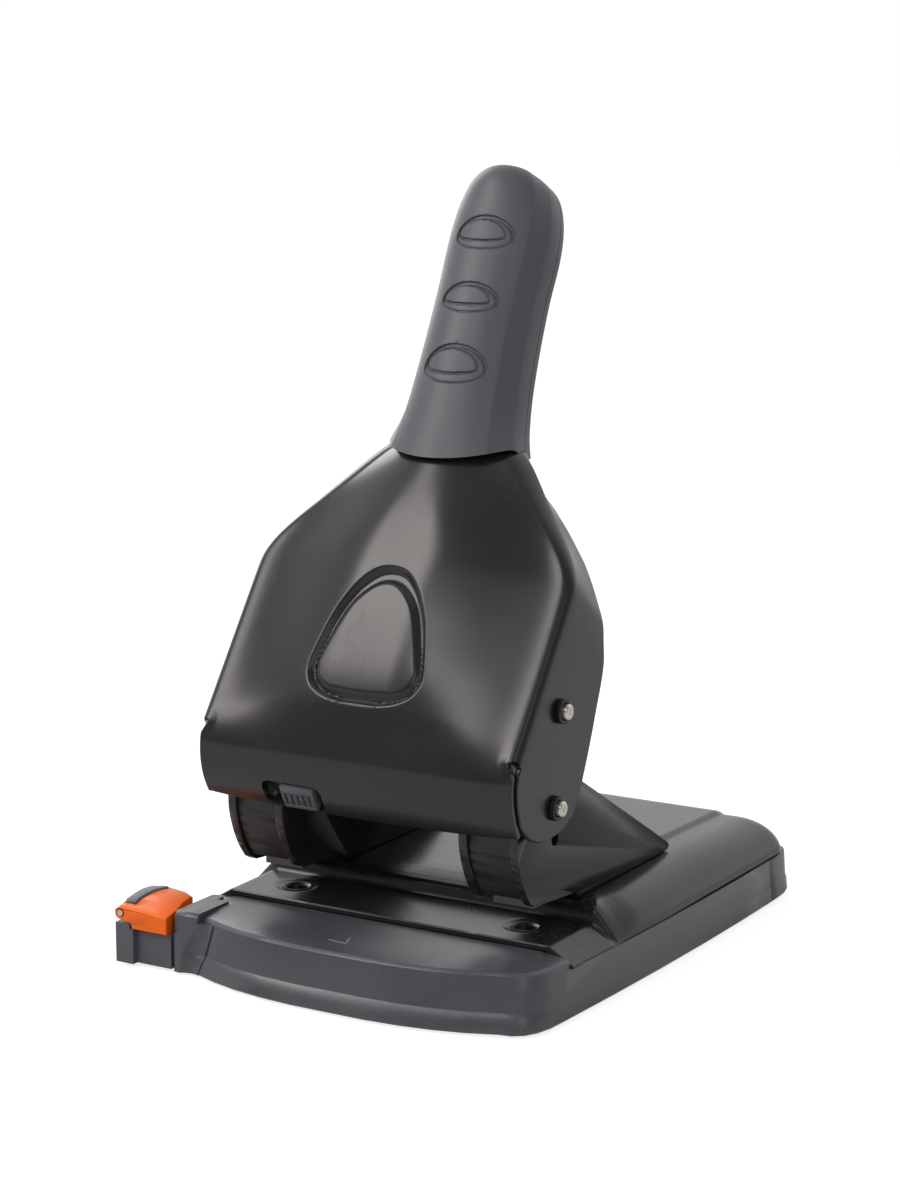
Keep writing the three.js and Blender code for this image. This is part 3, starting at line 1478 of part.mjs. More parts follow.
function latchPad(margin) {
  const rings = padRows.map((y, place) => {
    const end = (place === 0) - (place === padRows.length - 1);
    const left = latchLeftTopAt(y) + padProud;
    const share = padRightShares[place];
    const right = THREE.MathUtils.lerp(latchShoulderTopAt(y), latchSlopeTopAt(y), share) + padProud;
    const leftX = latchPivotX - margin;
    const rightX = THREE.MathUtils.lerp(latchShoulderX, latchSlopeX, share) + margin;
    const deep = padThickness + margin;
    const shape = [
      [leftX, left - deep],
      [rightX, right - deep],
      [rightX, right],
      [leftX, left],
    ];
    return shape.map(([x, z]) => new THREE.Vector3(x, z, -y + end * margin));
  });
  return lofted(rings.reverse()).applyMatrix4(alongYFrame);
}

function buildLatch() {
  const body = lofted([...latchRows].reverse().map(latchRing)).applyMatrix4(alongYFrame);
  const channel = block(
    latchPivotX - 2 * latchRound,
    latchPivotX + lugRadius + restGap,
    lugFront - restGap,
    lugRear + restGap,
    latchBottom - cutOverrun,
    latchPivotZ + lugRadius + restGap,
  );
  const bore = barAlongY(latchPinRadius + restGap, latchPivotX, -farAway, 0, latchPivotZ, smallSides);
  return largestBody(without(solidOf(body), channel, bore, latchPad(2 * restGap)));
}

addPiece("guide_latch", buildLatch(), orangePlastic);
addPiece("latch_pad", latchPad(0), slatePlastic);
const latchPinEnds = [-85.6, -67.8];
const latchPin = barAlongY(latchPinRadius, latchPivotX, ...latchPinEnds, latchPivotZ, smallSides);
addPiece("latch_pin", latchPin, brightSteel);

export default holePunch;
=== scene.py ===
# Heavy duty two-hole punch: studio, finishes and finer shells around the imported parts.
# Tables are in millimetres and degrees unless a line says otherwise.
import json
import math

import bmesh
import bpy
import numpy as np
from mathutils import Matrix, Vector


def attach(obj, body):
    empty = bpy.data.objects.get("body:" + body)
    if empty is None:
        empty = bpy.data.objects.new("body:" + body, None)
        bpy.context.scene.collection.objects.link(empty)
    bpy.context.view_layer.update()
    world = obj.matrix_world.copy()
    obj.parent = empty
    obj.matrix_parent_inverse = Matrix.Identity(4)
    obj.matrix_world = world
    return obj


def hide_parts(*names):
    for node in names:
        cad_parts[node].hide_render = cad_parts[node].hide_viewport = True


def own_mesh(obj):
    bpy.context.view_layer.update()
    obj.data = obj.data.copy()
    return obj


mm = 0.001
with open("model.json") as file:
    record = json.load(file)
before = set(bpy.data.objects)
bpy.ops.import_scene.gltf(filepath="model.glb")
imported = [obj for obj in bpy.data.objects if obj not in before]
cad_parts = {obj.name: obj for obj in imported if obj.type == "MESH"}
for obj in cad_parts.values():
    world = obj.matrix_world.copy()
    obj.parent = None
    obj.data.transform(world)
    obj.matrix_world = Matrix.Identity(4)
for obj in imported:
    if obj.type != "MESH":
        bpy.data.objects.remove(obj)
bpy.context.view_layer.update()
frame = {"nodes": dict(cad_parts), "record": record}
nodeBody = {node: body for body, nodes in frame["record"]["behaviour"]["bodies"].items() for node in nodes}
print("frame loaded with", len(frame["nodes"]), "nodes")


def newObject(name, data):
    made = bpy.data.objects.new(name, data)
    bpy.context.scene.collection.objects.link(made)
    return made


def aimed(made, place, ahead):
    made.location = place
    made.rotation_mode = "QUATERNION"
    made.rotation_quaternion = ahead.to_track_quat("-Z", "Y")


# Camera at the photograph's place, which is in metres
cameraView = {
    "place": (0.4225045, -0.731376, 0.2686812), "azimuth": 30.7543, "elevation": 10.9466, "lens": 84.0,
    "sensor": 36.0, "clip": (0.01, 50.0),
}
cameraData = bpy.data.cameras.new("studioCamera")
cameraData.lens = cameraView["lens"]
cameraData.sensor_width = cameraView["sensor"]
cameraData.clip_start, cameraData.clip_end = cameraView["clip"]
camera = newObject("studioCamera", cameraData)
turn, rise = math.radians(cameraView["azimuth"]), math.radians(cameraView["elevation"])
lookBack = Vector((math.sin(turn) * math.cos(rise), -math.cos(turn) * math.cos(rise), math.sin(rise)))
aimed(camera, cameraView["place"], -lookBack)
bpy.context.scene.camera = camera


# Small helpers for numbers and curves
def smoothStep(value, low, high):
    share = np.clip((value - low) / (high - low), 0, 1)
    return share * share * (3 - 2 * share)


def mix(start, end, share):
    return start + (end - start) * share


def unit(vectors):
    return vectors / np.maximum(np.linalg.norm(vectors, axis=1, keepdims=True), 1e-12)


def spread(spans):
    # Places in several spans, each given as from, to and the number of places
    return np.unique(np.concatenate([np.linspace(*span) for span in spans]))


def curveThrough(places, values):
    # Smooth curve through values at uneven places
    places, values = np.array(places, float), np.array(values, float)

    def at(place):
        place = np.clip(np.asarray(place, float), places[0], places[-1])
        high = np.clip(np.searchsorted(places, place, side="right"), 1, len(places) - 1)
        start, end = places[high - 1], places[high]
        before = np.where(high >= 2, high - 2, high)
        after = np.where(high + 1 < len(places), high + 1, high - 1)
        half = (end - start) / 2
        pullBefore, pullAfter = half / (start - places[before]), half / (places[after] - end)
        t = (place - start) / (end - start)
        weights = (
            pullBefore * (-(t**3) + 2 * t**2 - t),
            (1 + pullBefore) * t**3 + (-1.5 - 2 * pullBefore) * t**2 + (-0.5 + pullBefore) * t + 1,
            (-1 - pullAfter) * t**3 + (1.5 + pullAfter) * t**2 + 0.5 * t, pullAfter * (t**3 - t**2),
        )
        return sum(weight * values[index] for weight, index in zip(weights, (before, high - 1, high, after)))

    return at


def splineThrough(points, steps):
    points = np.array(points, float)
    found = []
    for place in range(len(points) - 1):
        a, b = points[max(place - 1, 0)], points[place]
        c, d = points[place + 1], points[min(place + 2, len(points) - 1)]
        out, back = (c - a) / 2, (d - b) / 2
        for t in np.arange(steps) / steps:
            cube = (2 * b - 2 * c + out + back) * t**3
            found.append(cube + (-3 * b + 3 * c - 2 * out - back) * t**2 + out * t + b)
    found.append(points[-1])
    return np.array(found)


def circleOf(radius, sides):
    turns = np.linspace(0, 2 * math.pi, sides, endpoint=False)
    return radius * np.column_stack([np.cos(turns), np.sin(turns)])


def atHeight(points, z):
    return np.column_stack([points, np.full(len(points), float(z))])


def atX(points, x):
    return np.column_stack([np.full(len(points), float(x)), points])


def mirrored(right):
    # Both halves of a grid whose first column lies in the middle
    return np.concatenate([right[:, :0:-1] * np.array([-1, 1, 1]), right], axis=1)


# Small helpers for pieces
def newPiece(name, points, faces):
    mesh = bpy.data.meshes.new(name)
    mesh.from_pydata((np.asarray(points, float) * mm).tolist(), [], [list(face) for face in faces])
    mesh.validate()
    return newObject(name, mesh)


def reworked(piece, change):
    work = bmesh.new()
    work.from_mesh(piece.data)
    change(work)
    work.to_mesh(piece.data)
    work.free()
    return piece


def rightWayOut(piece):
    return reworked(piece, lambda work: bmesh.ops.recalc_face_normals(work, faces=work.faces))


def loft(name, rings):
    # Closed shape through rings with the same number of points
    points, sides = np.concatenate(rings), len(rings[0])
    faces = []
    for low in range(0, len(points) - sides, sides):
        for place in range(sides):
            after = (place + 1) % sides
            faces.append((low + place, low + after, low + sides + after, low + sides + place))
    faces.append(tuple(reversed(range(sides))))
    faces.append(tuple(range(len(points) - sides, len(points))))
    return rightWayOut(newPiece(name, points, faces))


def finished(piece):
    graph = bpy.context.evaluated_depsgraph_get()
    graph.update()
    mesh = bpy.data.meshes.new_from_object(piece.evaluated_get(graph), depsgraph=graph)
    mesh.name = piece.name
    old = piece.data
    piece.modifiers.clear()
    piece.data = mesh
    bpy.data.meshes.remove(old)
    return piece


def combined(piece, others, operation="DIFFERENCE"):
    for other in others:
        change = piece.modifiers.new("change", "BOOLEAN")
        change.operation = operation
        change.solver = "MANIFOLD"
        change.object = other
    finished(piece)
    for other in others:
        bpy.data.objects.remove(other)
    return piece


def softened(piece, width, angle):
    bevel = piece.modifiers.new("edge", "BEVEL")
    bevel.width = width * mm
    bevel.segments = 2
    bevel.limit_method = "ANGLE"
    bevel.angle_limit = math.radians(angle)
    bevel.harden_normals = True
    return finished(piece)


def smoothed(piece, angle):
    piece.data.shade_smooth()
    piece.data.set_sharp_from_angle(angle=math.radians(angle))
    return piece


def tidied(piece, distance=0.004):
    def change(work):
        bmesh.ops.remove_doubles(work, verts=work.verts, dist=distance * mm)
        bmesh.ops.dissolve_limit(work, angle_limit=math.radians(0.4), verts=work.verts, edges=work.edges)

    return reworked(piece, change)


def copyOf(node, suffix="Finish"):
    return tidied(newObject(node + suffix, frame["nodes"][node].data.copy()))


def barAlong(axis, radius, start, end, across, up, sides=48):
    # across and up are the two other coordinates, in their usual order
    rings = [np.full((sides, 3), float(place)) for place in (start, end)]
    for ring in rings:
        ring[:, [index for index in range(3) if index != axis]] = circleOf(radius, sides) + (across, up)
    return loft("cutter", rings)


# Node helpers: a number is set, a socket or a node's first output is linked,
# and an underscore stands for a space
def give(socket, value):
    value = value.outputs[0] if isinstance(value, bpy.types.Node) else value
    if isinstance(value, bpy.types.NodeSocket):
        socket.id_data.links.new(value, socket)
    else:
        socket.default_value = value


def feed(made, **values):
    for label, value in values.items():
        give(made.inputs[label.replace("_", " ")], value)
    return made


def add(tree, kind, settings=None, **values):
    made = tree.nodes.new(tree.bl_idname.removesuffix("Tree") + kind)
    for name, value in (settings or {}).items():
        setattr(made, name, value)
    return feed(made, **values)


def newTree(name, kind, inputs, outputs):
    # A socket has a label and its kind, or the starting number of a float
    tree = bpy.data.node_groups.new(name, kind)
    for way, sockets in (("INPUT", inputs), ("OUTPUT", outputs)):
        for label, value in sockets.items():
            socketKind = value if isinstance(value, str) else "Float"
            socket = tree.interface.new_socket(label, in_out=way, socket_type="NodeSocket" + socketKind)
            if value is not socketKind:
                socket.default_value = value
    return tree, tree.nodes.new("NodeGroupInput").outputs, tree.nodes.new("NodeGroupOutput")


def math2(operation, *terms, clamp=False):
    tree = next(term.id_data for term in terms if isinstance(term, bpy.types.NodeSocket))
    made = add(tree, "Math", {"operation": operation, "use_clamp": clamp})
    for socket, term in zip(made.inputs, terms):
        give(socket, term)
    return made.outputs[0]


def mapped(value, fromLow, fromHigh, toLow=0.0, toHigh=1.0):
    made = add(value.id_data, "MapRange", {"interpolation_type": "SMOOTHSTEP"}, Value=value)
    return feed(made, From_Min=fromLow, From_Max=fromHigh, To_Min=toLow, To_Max=toHigh).outputs[0]


def noiseOf(place, scale, detail, roughness):
    made = add(place.id_data, "TexNoise", Vector=place, Scale=scale, Detail=detail)
    return feed(made, Roughness=roughness).outputs["Fac"]


def mixedColour(factor, first, second):
    made = add(factor.id_data, "Mix", {"data_type": "RGBA"}, Factor=factor)
    for socket, value in ((made.inputs[6], first), (made.inputs[7], second)):
        give(socket, (*value, 1.0) if isinstance(value, tuple) else value)
    return made.outputs[2]


# Fine moulded or sprayed grain: a height for bump and a small speckle tone
grainTree, grainIn, grainOut = newTree(
    "fineGrain", "ShaderNodeTree", {"Grain Size": 900.0}, {"Height": "Float", "Speckle": "Float"}
)
grainPlace = add(grainTree, "TexCoord").outputs["Object"]
grainFine = noiseOf(grainPlace, grainIn["Grain Size"], 2.0, 0.6)
grainCell = add(grainTree, "TexVoronoi", {"feature": "SMOOTH_F1"}, Vector=grainPlace)
feed(grainCell, Scale=math2("MULTIPLY", grainIn["Grain Size"], 1.7))
grainHeight = math2("MULTIPLY_ADD", grainCell.outputs["Distance"], 0.6, grainFine)
feed(grainOut, Height=grainHeight, Speckle=mapped(grainFine, 0.3, 0.7))

# Broad unevenness left by spraying, moulding and handling
handledTree, handledIn, handledOut = newTree(
    "handledSurface", "ShaderNodeTree", {"Patch Size": 30.0}, {"Patches": "Float", "Rubs": "Float"}
)
handledPlace = add(handledTree, "TexCoord").outputs["Object"]
handledWide = noiseOf(handledPlace, handledIn["Patch Size"], 4.0, 0.55)
rubStretch = add(handledTree, "Mapping", Vector=handledPlace)
feed(rubStretch, Scale=(1.0, 0.35, 0.2), Rotation=(0.6, 0.3, 0.2))
rubFine = noiseOf(rubStretch.outputs[0], math2("MULTIPLY", handledIn["Patch Size"], 14.0), 3.0, 0.7)
feed(handledOut, Patches=mapped(handledWide, 0.35, 0.68), Rubs=mapped(rubFine, 0.56, 0.74))

# Thin dust that settles on faces that look up
dustTree, dustIn, dustOut = newTree("settledDust", "ShaderNodeTree", {"Amount": 0.1}, {"Mask": "Float"})
dustNormal = add(dustTree, "NewGeometry").outputs["Normal"]
dustSplit = add(dustTree, "SeparateXYZ", Vector=dustNormal)
dustPlace = add(dustTree, "TexCoord").outputs["Object"]
dustSpots = mapped(noiseOf(dustPlace, 650.0, 4.0, 0.7), 0.5, 0.72)
dustClouds = mapped(noiseOf(dustPlace, 24.0, 3.0, 0.5), 0.35, 0.7, 0.2)
dustUp = mapped(dustSplit.outputs["Z"], 0.55, 0.98)
dustMask = math2("MULTIPLY", math2("MULTIPLY", dustSpots, dustClouds), dustUp)
feed(dustOut, Mask=math2("MULTIPLY", dustMask, dustIn["Amount"], clamp=True))

looks = {
    "base": {
        "grainSize": 1500.0, "patchSize": 22.0, "dust": 0.0, "dustColour": (0.3, 0.29, 0.28),
        "dustRoughness": 0.3, "speckle": 0.1, "roughnessDrift": 0.05, "rubRoughness": 0.04, "bump": 0.2,
        "bumpDepth": 0.04, "metallic": 0.0, "specular": 0.5, "coat": 0.0, "coatRoughness": 0.3,
    }
}


def newFinish(name, start, **changes):
    # A painted, moulded or metal surface: an earlier look with some changes
    # tones are its colour, the colour of its patches and that of its speckle
    look = looks[name] = {**looks[start], **changes}
    colour, patchColour, speckleColour = look["tones"]
    material = bpy.data.materials.new(name)
    material.use_nodes = True
    tree = material.node_tree
    grain = add(tree, "Group", {"node_tree": grainTree}, Grain_Size=look["grainSize"])
    handled = add(tree, "Group", {"node_tree": handledTree}, Patch_Size=look["patchSize"])
    dust = add(tree, "Group", {"node_tree": dustTree}, Amount=look["dust"])
    patches, dusty = handled.outputs["Patches"], dust.outputs["Mask"]
    tone = mixedColour(patches, colour, patchColour)
    tone = mixedColour(math2("MULTIPLY", grain.outputs["Speckle"], look["speckle"]), tone, speckleColour)
    tone = mixedColour(dusty, tone, look["dustColour"])
    rough = math2("MULTIPLY_ADD", patches, look["roughnessDrift"], look["roughness"])
    rough = math2("MULTIPLY_ADD", handled.outputs["Rubs"], look["rubRoughness"], rough)
    rough = math2("MULTIPLY_ADD", dusty, look["dustRoughness"], rough, clamp=True)
    bump = add(tree, "Bump", Strength=look["bump"], Distance=look["bumpDepth"] * mm)
    feed(bump, Height=grain.outputs["Height"])
    shader = feed(tree.nodes["Principled BSDF"], Base_Color=tone, Roughness=rough, Normal=bump)
    feed(shader, Metallic=look["metallic"], Specular_IOR_Level=look["specular"])
    feed(shader, Coat_Weight=look["coat"], Coat_Roughness=look["coatRoughness"])
    return material


# Sprayed satin black on the pressed steel
satinTones = [(0.0098, 0.0092, 0.0094), (0.0125, 0.0117, 0.0118), (0.024, 0.023, 0.023)]
satinBlack = newFinish(
    "satinBlackPaint", "base", tones=satinTones, roughness=0.22, bump=0.1, bumpDepth=0.03, dust=0.08
)
deckBlack = newFinish("deckBlackPaint", "satinBlackPaint", roughness=0.2, dust=0.14)
insideBlack = newFinish("shelteredBlackPaint", "satinBlackPaint", roughness=0.42, dust=0.2)
ringTones = [(0.012, 0.011, 0.011), *satinTones[1:]]
ringBlack = newFinish("blackRing", "satinBlackPaint", tones=ringTones, roughness=0.4)
# Dark slate plastic with a fine matt skin
slateTones = [(0.074, 0.072, 0.086), (0.084, 0.082, 0.097), (0.11, 0.108, 0.122)]
slateSkin = {"speckle": 0.3, "grainSize": 2100.0, "bump": 0.24, "bumpDepth": 0.05, "dust": 0.1}
slatePlastic = newFinish("slatePlastic", "base", tones=slateTones, roughness=0.4, **slateSkin)
trayTones = [(0.05, 0.049, 0.06), (0.058, 0.057, 0.069), slateTones[2]]
trayPlastic = newFinish("trayPlastic", "slatePlastic", tones=trayTones, roughness=0.32, specular=0.65)
padTones = [(0.19, 0.187, 0.196), (0.215, 0.21, 0.222), slateTones[2]]
padPlastic = newFinish("padPlastic", "slatePlastic", tones=padTones, roughness=0.55)
sliderTones = [(0.06, 0.06, 0.074), *slateTones[1:]]
sliderPlastic = newFinish("sliderPlastic", "slatePlastic", tones=sliderTones, roughness=0.36)
markTones = [(0.3, 0.295, 0.3), (0.26, 0.255, 0.26), slateTones[2]]
markPrint = newFinish("paleMark", "slatePlastic", tones=markTones, roughness=0.5)
# Glossy orange plastic
orangeTones = [(0.93, 0.135, 0.002), (0.95, 0.155, 0.004), (0.96, 0.21, 0.012)]
orangeSkin = {"bump": 0.08, "specular": 0.35, "coat": 0.08, "coatRoughness": 0.2}
orangePlastic = newFinish("orangePlastic", "base", tones=orangeTones, roughness=0.36, **orangeSkin)
nickelTones = [(0.66, 0.62, 0.56), (0.58, 0.545, 0.49), (0.42, 0.39, 0.35)]
nickelSkin = {"speckle": 0.35, "grainSize": 2600.0, "bump": 0.12, "metallic": 1.0}
nickel = newFinish("nickelSteel", "base", tones=nickelTones, roughness=0.24, **nickelSkin)
springTones = [(0.42, 0.42, 0.43), (0.34, 0.34, 0.35), nickelTones[2]]
springSteel = newFinish("springSteel", "nickelSteel", tones=springTones, roughness=0.3)
darkTones = [(0.11, 0.107, 0.105), (0.14, 0.135, 0.13), (0.07, 0.068, 0.066)]
darkSteel = newFinish("darkSteel", "base", tones=darkTones, roughness=0.36, metallic=1.0)
rubberTones = [(0.018, 0.018, 0.019), (0.024, 0.024, 0.025), (0.05, 0.05, 0.05)]
footRubber = newFinish("footRubber", "base", tones=rubberTones, roughness=0.82, bump=0.4, bumpDepth=0.08)
print("finishes made")

# Every node has its finish, also those that a finer piece stands for; the longest match counts
nodeKinds = [
    (trayPlastic, "base_tray chip_drawer"), (deckBlack, "deck_plate die_plate"),
    (footRubber, "rubber_foot"),
    (darkSteel, "tray_screw bracket_screw grip_screw die punch_guide spring_collar cam"),
    (satinBlack, "bracket lever_body"), (insideBlack, "bracket_guard"),
    (nickel, "punch_pin cross_pin pivot_shaft tie_shaft pivot_washer latch_pin"),
    (springSteel, "return_spring"), (ringBlack, "pivot_ring tie_ring"), (sliderPlastic, "lock_slider"),
    (slatePlastic, "grip guide_arm"), (orangePlastic, "guide_latch"), (padPlastic, "latch_pad"),
]
nodeFinish = {kind: finish for finish, kinds in nodeKinds for kind in kinds.split()}


def finishOf(node):
    return nodeFinish[max((kind for kind in nodeFinish if node.startswith(kind)), key=len)]


for name, node in frame["nodes"].items():
    if not node.material_slots:
        node.data.materials.append(finishOf(name))
    for materialSlot in node.material_slots:
        materialSlot.link = "OBJECT"
        materialSlot.material = finishOf(name)


def seated(piece, *nodes):
    # The piece takes the finish, the body and the place of the nodes
    piece.data.materials.clear()
    piece.data.materials.append(finishOf(nodes[0]))
    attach(piece, nodeBody[nodes[0]])
    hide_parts(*nodes)
    return piece


# Lever body, pressed from one sheet. Curves are places and values; places are distances up the face
lever = {
    "sheet": 2.0, "halfWidth": 53.8, "creaseY": -75.7, "creaseZ": 77.0, "lean": math.radians(36.5),
    "inset": (
        [0, 50, 56, 60, 64, 68, 76.2, 83, 90, 93.7, 96.4, 97.2, 104],
        [0, 0, 0.4, 1.8, 4.1, 7.0, 13.9, 19.4, 25.0, 28.2, 30.9, 36.8, 38.2],
    ),
    "rearInset": (
        [0, 46, 52, 56, 61, 69, 79, 83, 90, 93.7, 96.4, 97.2, 104],
        [0, 0, 0.4, 0.9, 3, 7.7, 17.3, 22.3, 28.6, 31.2, 33, 36.8, 38.2],
    ),
    "neckFrom": 92.0,
    "depth": (
        [0, 7, 16.5, 31.8, 45.9, 50, 56, 62, 66, 70, 75, 80, 94.2, 104],
        [39.9, 40.2, 38.7, 34.9, 30.5, 27.8, 24, 19.2, 14.4, 10, 6.8, 5.6, 5, 5],
    ),
    "crown": ([0, 10, 20, 35, 50, 65, 80, 95, 104], [1.5, 5, 7.3, 9, 10, 10.3, 10.3, 9.9, 9.4]),
    "edgeLift": ([0, 30, 48, 66, 82, 104], [0, 0.5, 1, 1.9, 3, 3]),
    "fold": ([0, 50, 70, 94, 104], [2.8, 3, 4.2, 4.4, 4.5]), "level": (58.0, 92.0), "plateau": 0.16,
    "rollRadius": 24.0, "rollHalfWidth": 53.0, "rollStart": math.radians(22),
    "rollEndSide": math.radians(-34.5), "rollEndMiddle": math.radians(-43), "rollWiden": 0.2,
    # the crease is rounded over this length of roll and this many rows of the face
    "creaseSoft": (7.0, 8), "creaseEnd": 0.93, "grooveDepth": 1.9, "grooveEdge": 1.9, "grooveStart": 0.2,
    "panelStart": 0.3, "panelFlat": 0.5, "edgeRound": 0.35,
    # pitch of the grid: from, to and number of points
    "shareSpans": [(0, 0.4, 50), (0.4, 1, 26)],
    "upSpans": [(0, 8, 9), (8, 53, 102), (53, 96.4, 46), (96.4, 97.2, 3), (97.2, 104, 6)],
    "foldSpan": (0, 1, 8), "flangeSpan": (0, 1, 12), "rollSpan": (1, 0.03, 28),
}
# Right halves of the pressed groove's two edges: x and distance up the face
groove = {
    "outer": [
        (0, 9.2), (6, 9.3), (12, 10.4), (16.6, 12.9), (19, 16.5), (19.3, 21),
        (16.2, 34), (12.6, 42), (9.2, 46.8), (5, 50.3), (0, 51.4),
    ],
    "inner": [
        (0, 13), (6, 12.9), (11, 13.6), (14.6, 15.6), (15.9, 18.6),
        (15.6, 22.5), (11, 36), (7.4, 41.6), (3.6, 44.9), (0, 45.9),
    ],
    "steps": 5,
}
depthAt, crownAt, liftAt, foldAt = (
    curveThrough(*lever[key]) for key in ("depth", "crown", "edgeLift", "fold")
)
rollArc = lever["rollRadius"] * (lever["rollStart"] - lever["rollEndMiddle"])
faceUp = np.array([0, math.sin(lever["lean"]), math.cos(lever["lean"])])
faceIn = np.array([0, math.cos(lever["lean"]), -math.sin(lever["lean"])])


def outlineAt(up, edge="inset"):
    straight = np.interp(up, *lever[edge])
    inset = np.where(up > lever["neckFrom"], straight, curveThrough(*lever[edge])(up))
    return lever["halfWidth"] - np.maximum(0, inset)


def facePoint(x, up, inward):
    # Inward runs square to the face at its foot and level at the neck
    along = up + smoothStep(up, *lever["level"]) * math.tan(lever["lean"]) * inward
    y = lever["creaseY"] + along * faceUp[1] + inward * faceIn[1]
    z = lever["creaseZ"] + along * faceUp[2] + inward * faceIn[2]
    return np.stack(np.broadcast_arrays(x, y, z), axis=-1)


def crownShare(share, up):
    ridge = 1 - smoothStep(share, lever["plateau"], 1)
    return mix(ridge, 1 - share**2, smoothStep(up, *lever["level"]))


def grooveRing(half):
    mirroredHalf = [(-x, up) for x, up in reversed(half[1:-1])]
    return splineThrough([*half, *mirroredHalf, half[0]], groove["steps"])[:-1]


def depthInside(ring, x, y):
    # Distance inside a convex ring that runs counter-clockwise, negative outside
    ahead = np.roll(ring, -1, axis=0) - ring
    length = np.linalg.norm(ahead, axis=1)
    kept = length > 1e-6
    outward = np.stack([ahead[kept, 1], -ahead[kept, 0]], axis=1) / length[kept, None]
    reach = [(x - a[0]) * n[0] + (y - a[1]) * n[1] for a, n in zip(ring[kept], outward)]
    return -np.max(reach, axis=0)


def rollPoint(x, share, offset=0.0):
    x, share = np.broadcast_arrays(np.asarray(x, float), np.asarray(share, float))
    across = np.abs(x) / lever["rollHalfWidth"]
    end = mix(lever["rollEndMiddle"], lever["rollEndSide"], across**2)
    radius, start = lever["rollRadius"], lever["rollStart"]
    angle = mix(start, end, share)
    point = facePoint(x, 0.0, -crownAt(0) * crownShare(across, 0.0))
    point[..., 1] += radius * (math.cos(start) - np.cos(angle)) - offset * np.cos(angle)
    point[..., 2] -= radius * (math.sin(start) - np.sin(angle)) - offset * np.sin(angle)
    narrow = (lever["halfWidth"] - foldAt(0)) / lever["rollHalfWidth"]
    point[..., 0] *= mix(narrow, 1.0, smoothStep(share, 0, lever["rollWiden"]))
    return point


def softCrease(grid, rollShares, ups):
    # The crease between roll and face is rounded, less so at its ends
    before, after = lever["creaseSoft"]
    crease = len(rollShares)
    first = int(np.argmin(np.abs(rollShares * rollArc - before)))
    reach = rollShares[first] * rollArc
    along = np.concatenate([-rollShares[first:] * rollArc, ups[: after + 1]])
    t = ((along + reach) / (reach + ups[after]))[:, None, None]
    start, middle, end = grid[first], grid[crease].copy(), grid[crease + after]
    rounded = start * (1 - t) ** 2 + 2 * middle * t * (1 - t) + end * t**2
    share = np.clip(np.abs(grid[crease, :, 0]) / (lever["halfWidth"] - foldAt(0)), 0, 1)
    weight = (1 - smoothStep(share, lever["creaseEnd"], 1))[None, :, None]
    rows = slice(first, crease + after + 1)
    grid[rows] = mix(grid[rows], rounded, weight)


def leverGrid():
    # Rows run from the roll's lower edge up to the neck, columns from flange to flange
    shares, ups = spread(lever["shareSpans"]), spread(lever["upSpans"])
    turns = np.linspace(*lever["foldSpan"])[1:] * math.pi / 2
    flange = np.linspace(*lever["flangeSpan"])[1:]
    up = ups[:, None]
    half, fold, lift = outlineAt(up), foldAt(up), liftAt(up)
    faceX = shares * (half - fold)
    crown = mix(lift, np.maximum(lift, crownAt(up)), crownShare(shares, up))
    places = faceX, up + 0 * faceX
    soft = lever["grooveEdge"]
    ring = smoothStep(depthInside(grooveRing(groove["outer"]), *places), -lever["grooveStart"], soft)
    panel = smoothStep(depthInside(grooveRing(groove["inner"]), *places), -soft, lever["panelStart"])
    pressed = ring * mix(lever["grooveDepth"], lever["panelFlat"], panel)
    rearHalf = np.minimum(half, outlineAt(up, "rearInset"))
    x = [faceX, half - fold + fold * np.sin(turns), mix(half, rearHalf, flange)]
    inward = [-crown, fold - lift - fold * np.cos(turns), mix(fold - lift, depthAt(up), flange)]
    right = facePoint(np.concatenate(x, axis=1), up, np.concatenate(inward, axis=1))
    rollShares = np.linspace(*lever["rollSpan"])
    across = np.concatenate([shares, np.ones(len(turns) + len(flange))]) * lever["rollHalfWidth"]
    rollRight = rollPoint(across[None, :], rollShares[:, None])
    grid = mirrored(np.concatenate([rollRight, right], axis=0))
    # The roll has no flanges, and the groove lies on the face alone
    reach, middle, crease = len(shares) - 1, right.shape[1] - 1, len(rollShares)
    kept = np.ones((grid.shape[0] - 1, grid.shape[1] - 1), bool)
    kept[:crease, : middle - reach] = False
    kept[:crease, middle + reach :] = False
    softCrease(grid, rollShares, ups)
    relief = np.zeros(grid.shape)
    relief[crease:, middle - reach : middle + reach + 1] = mirrored(pressed[..., None] * faceIn)
    return grid, kept, relief


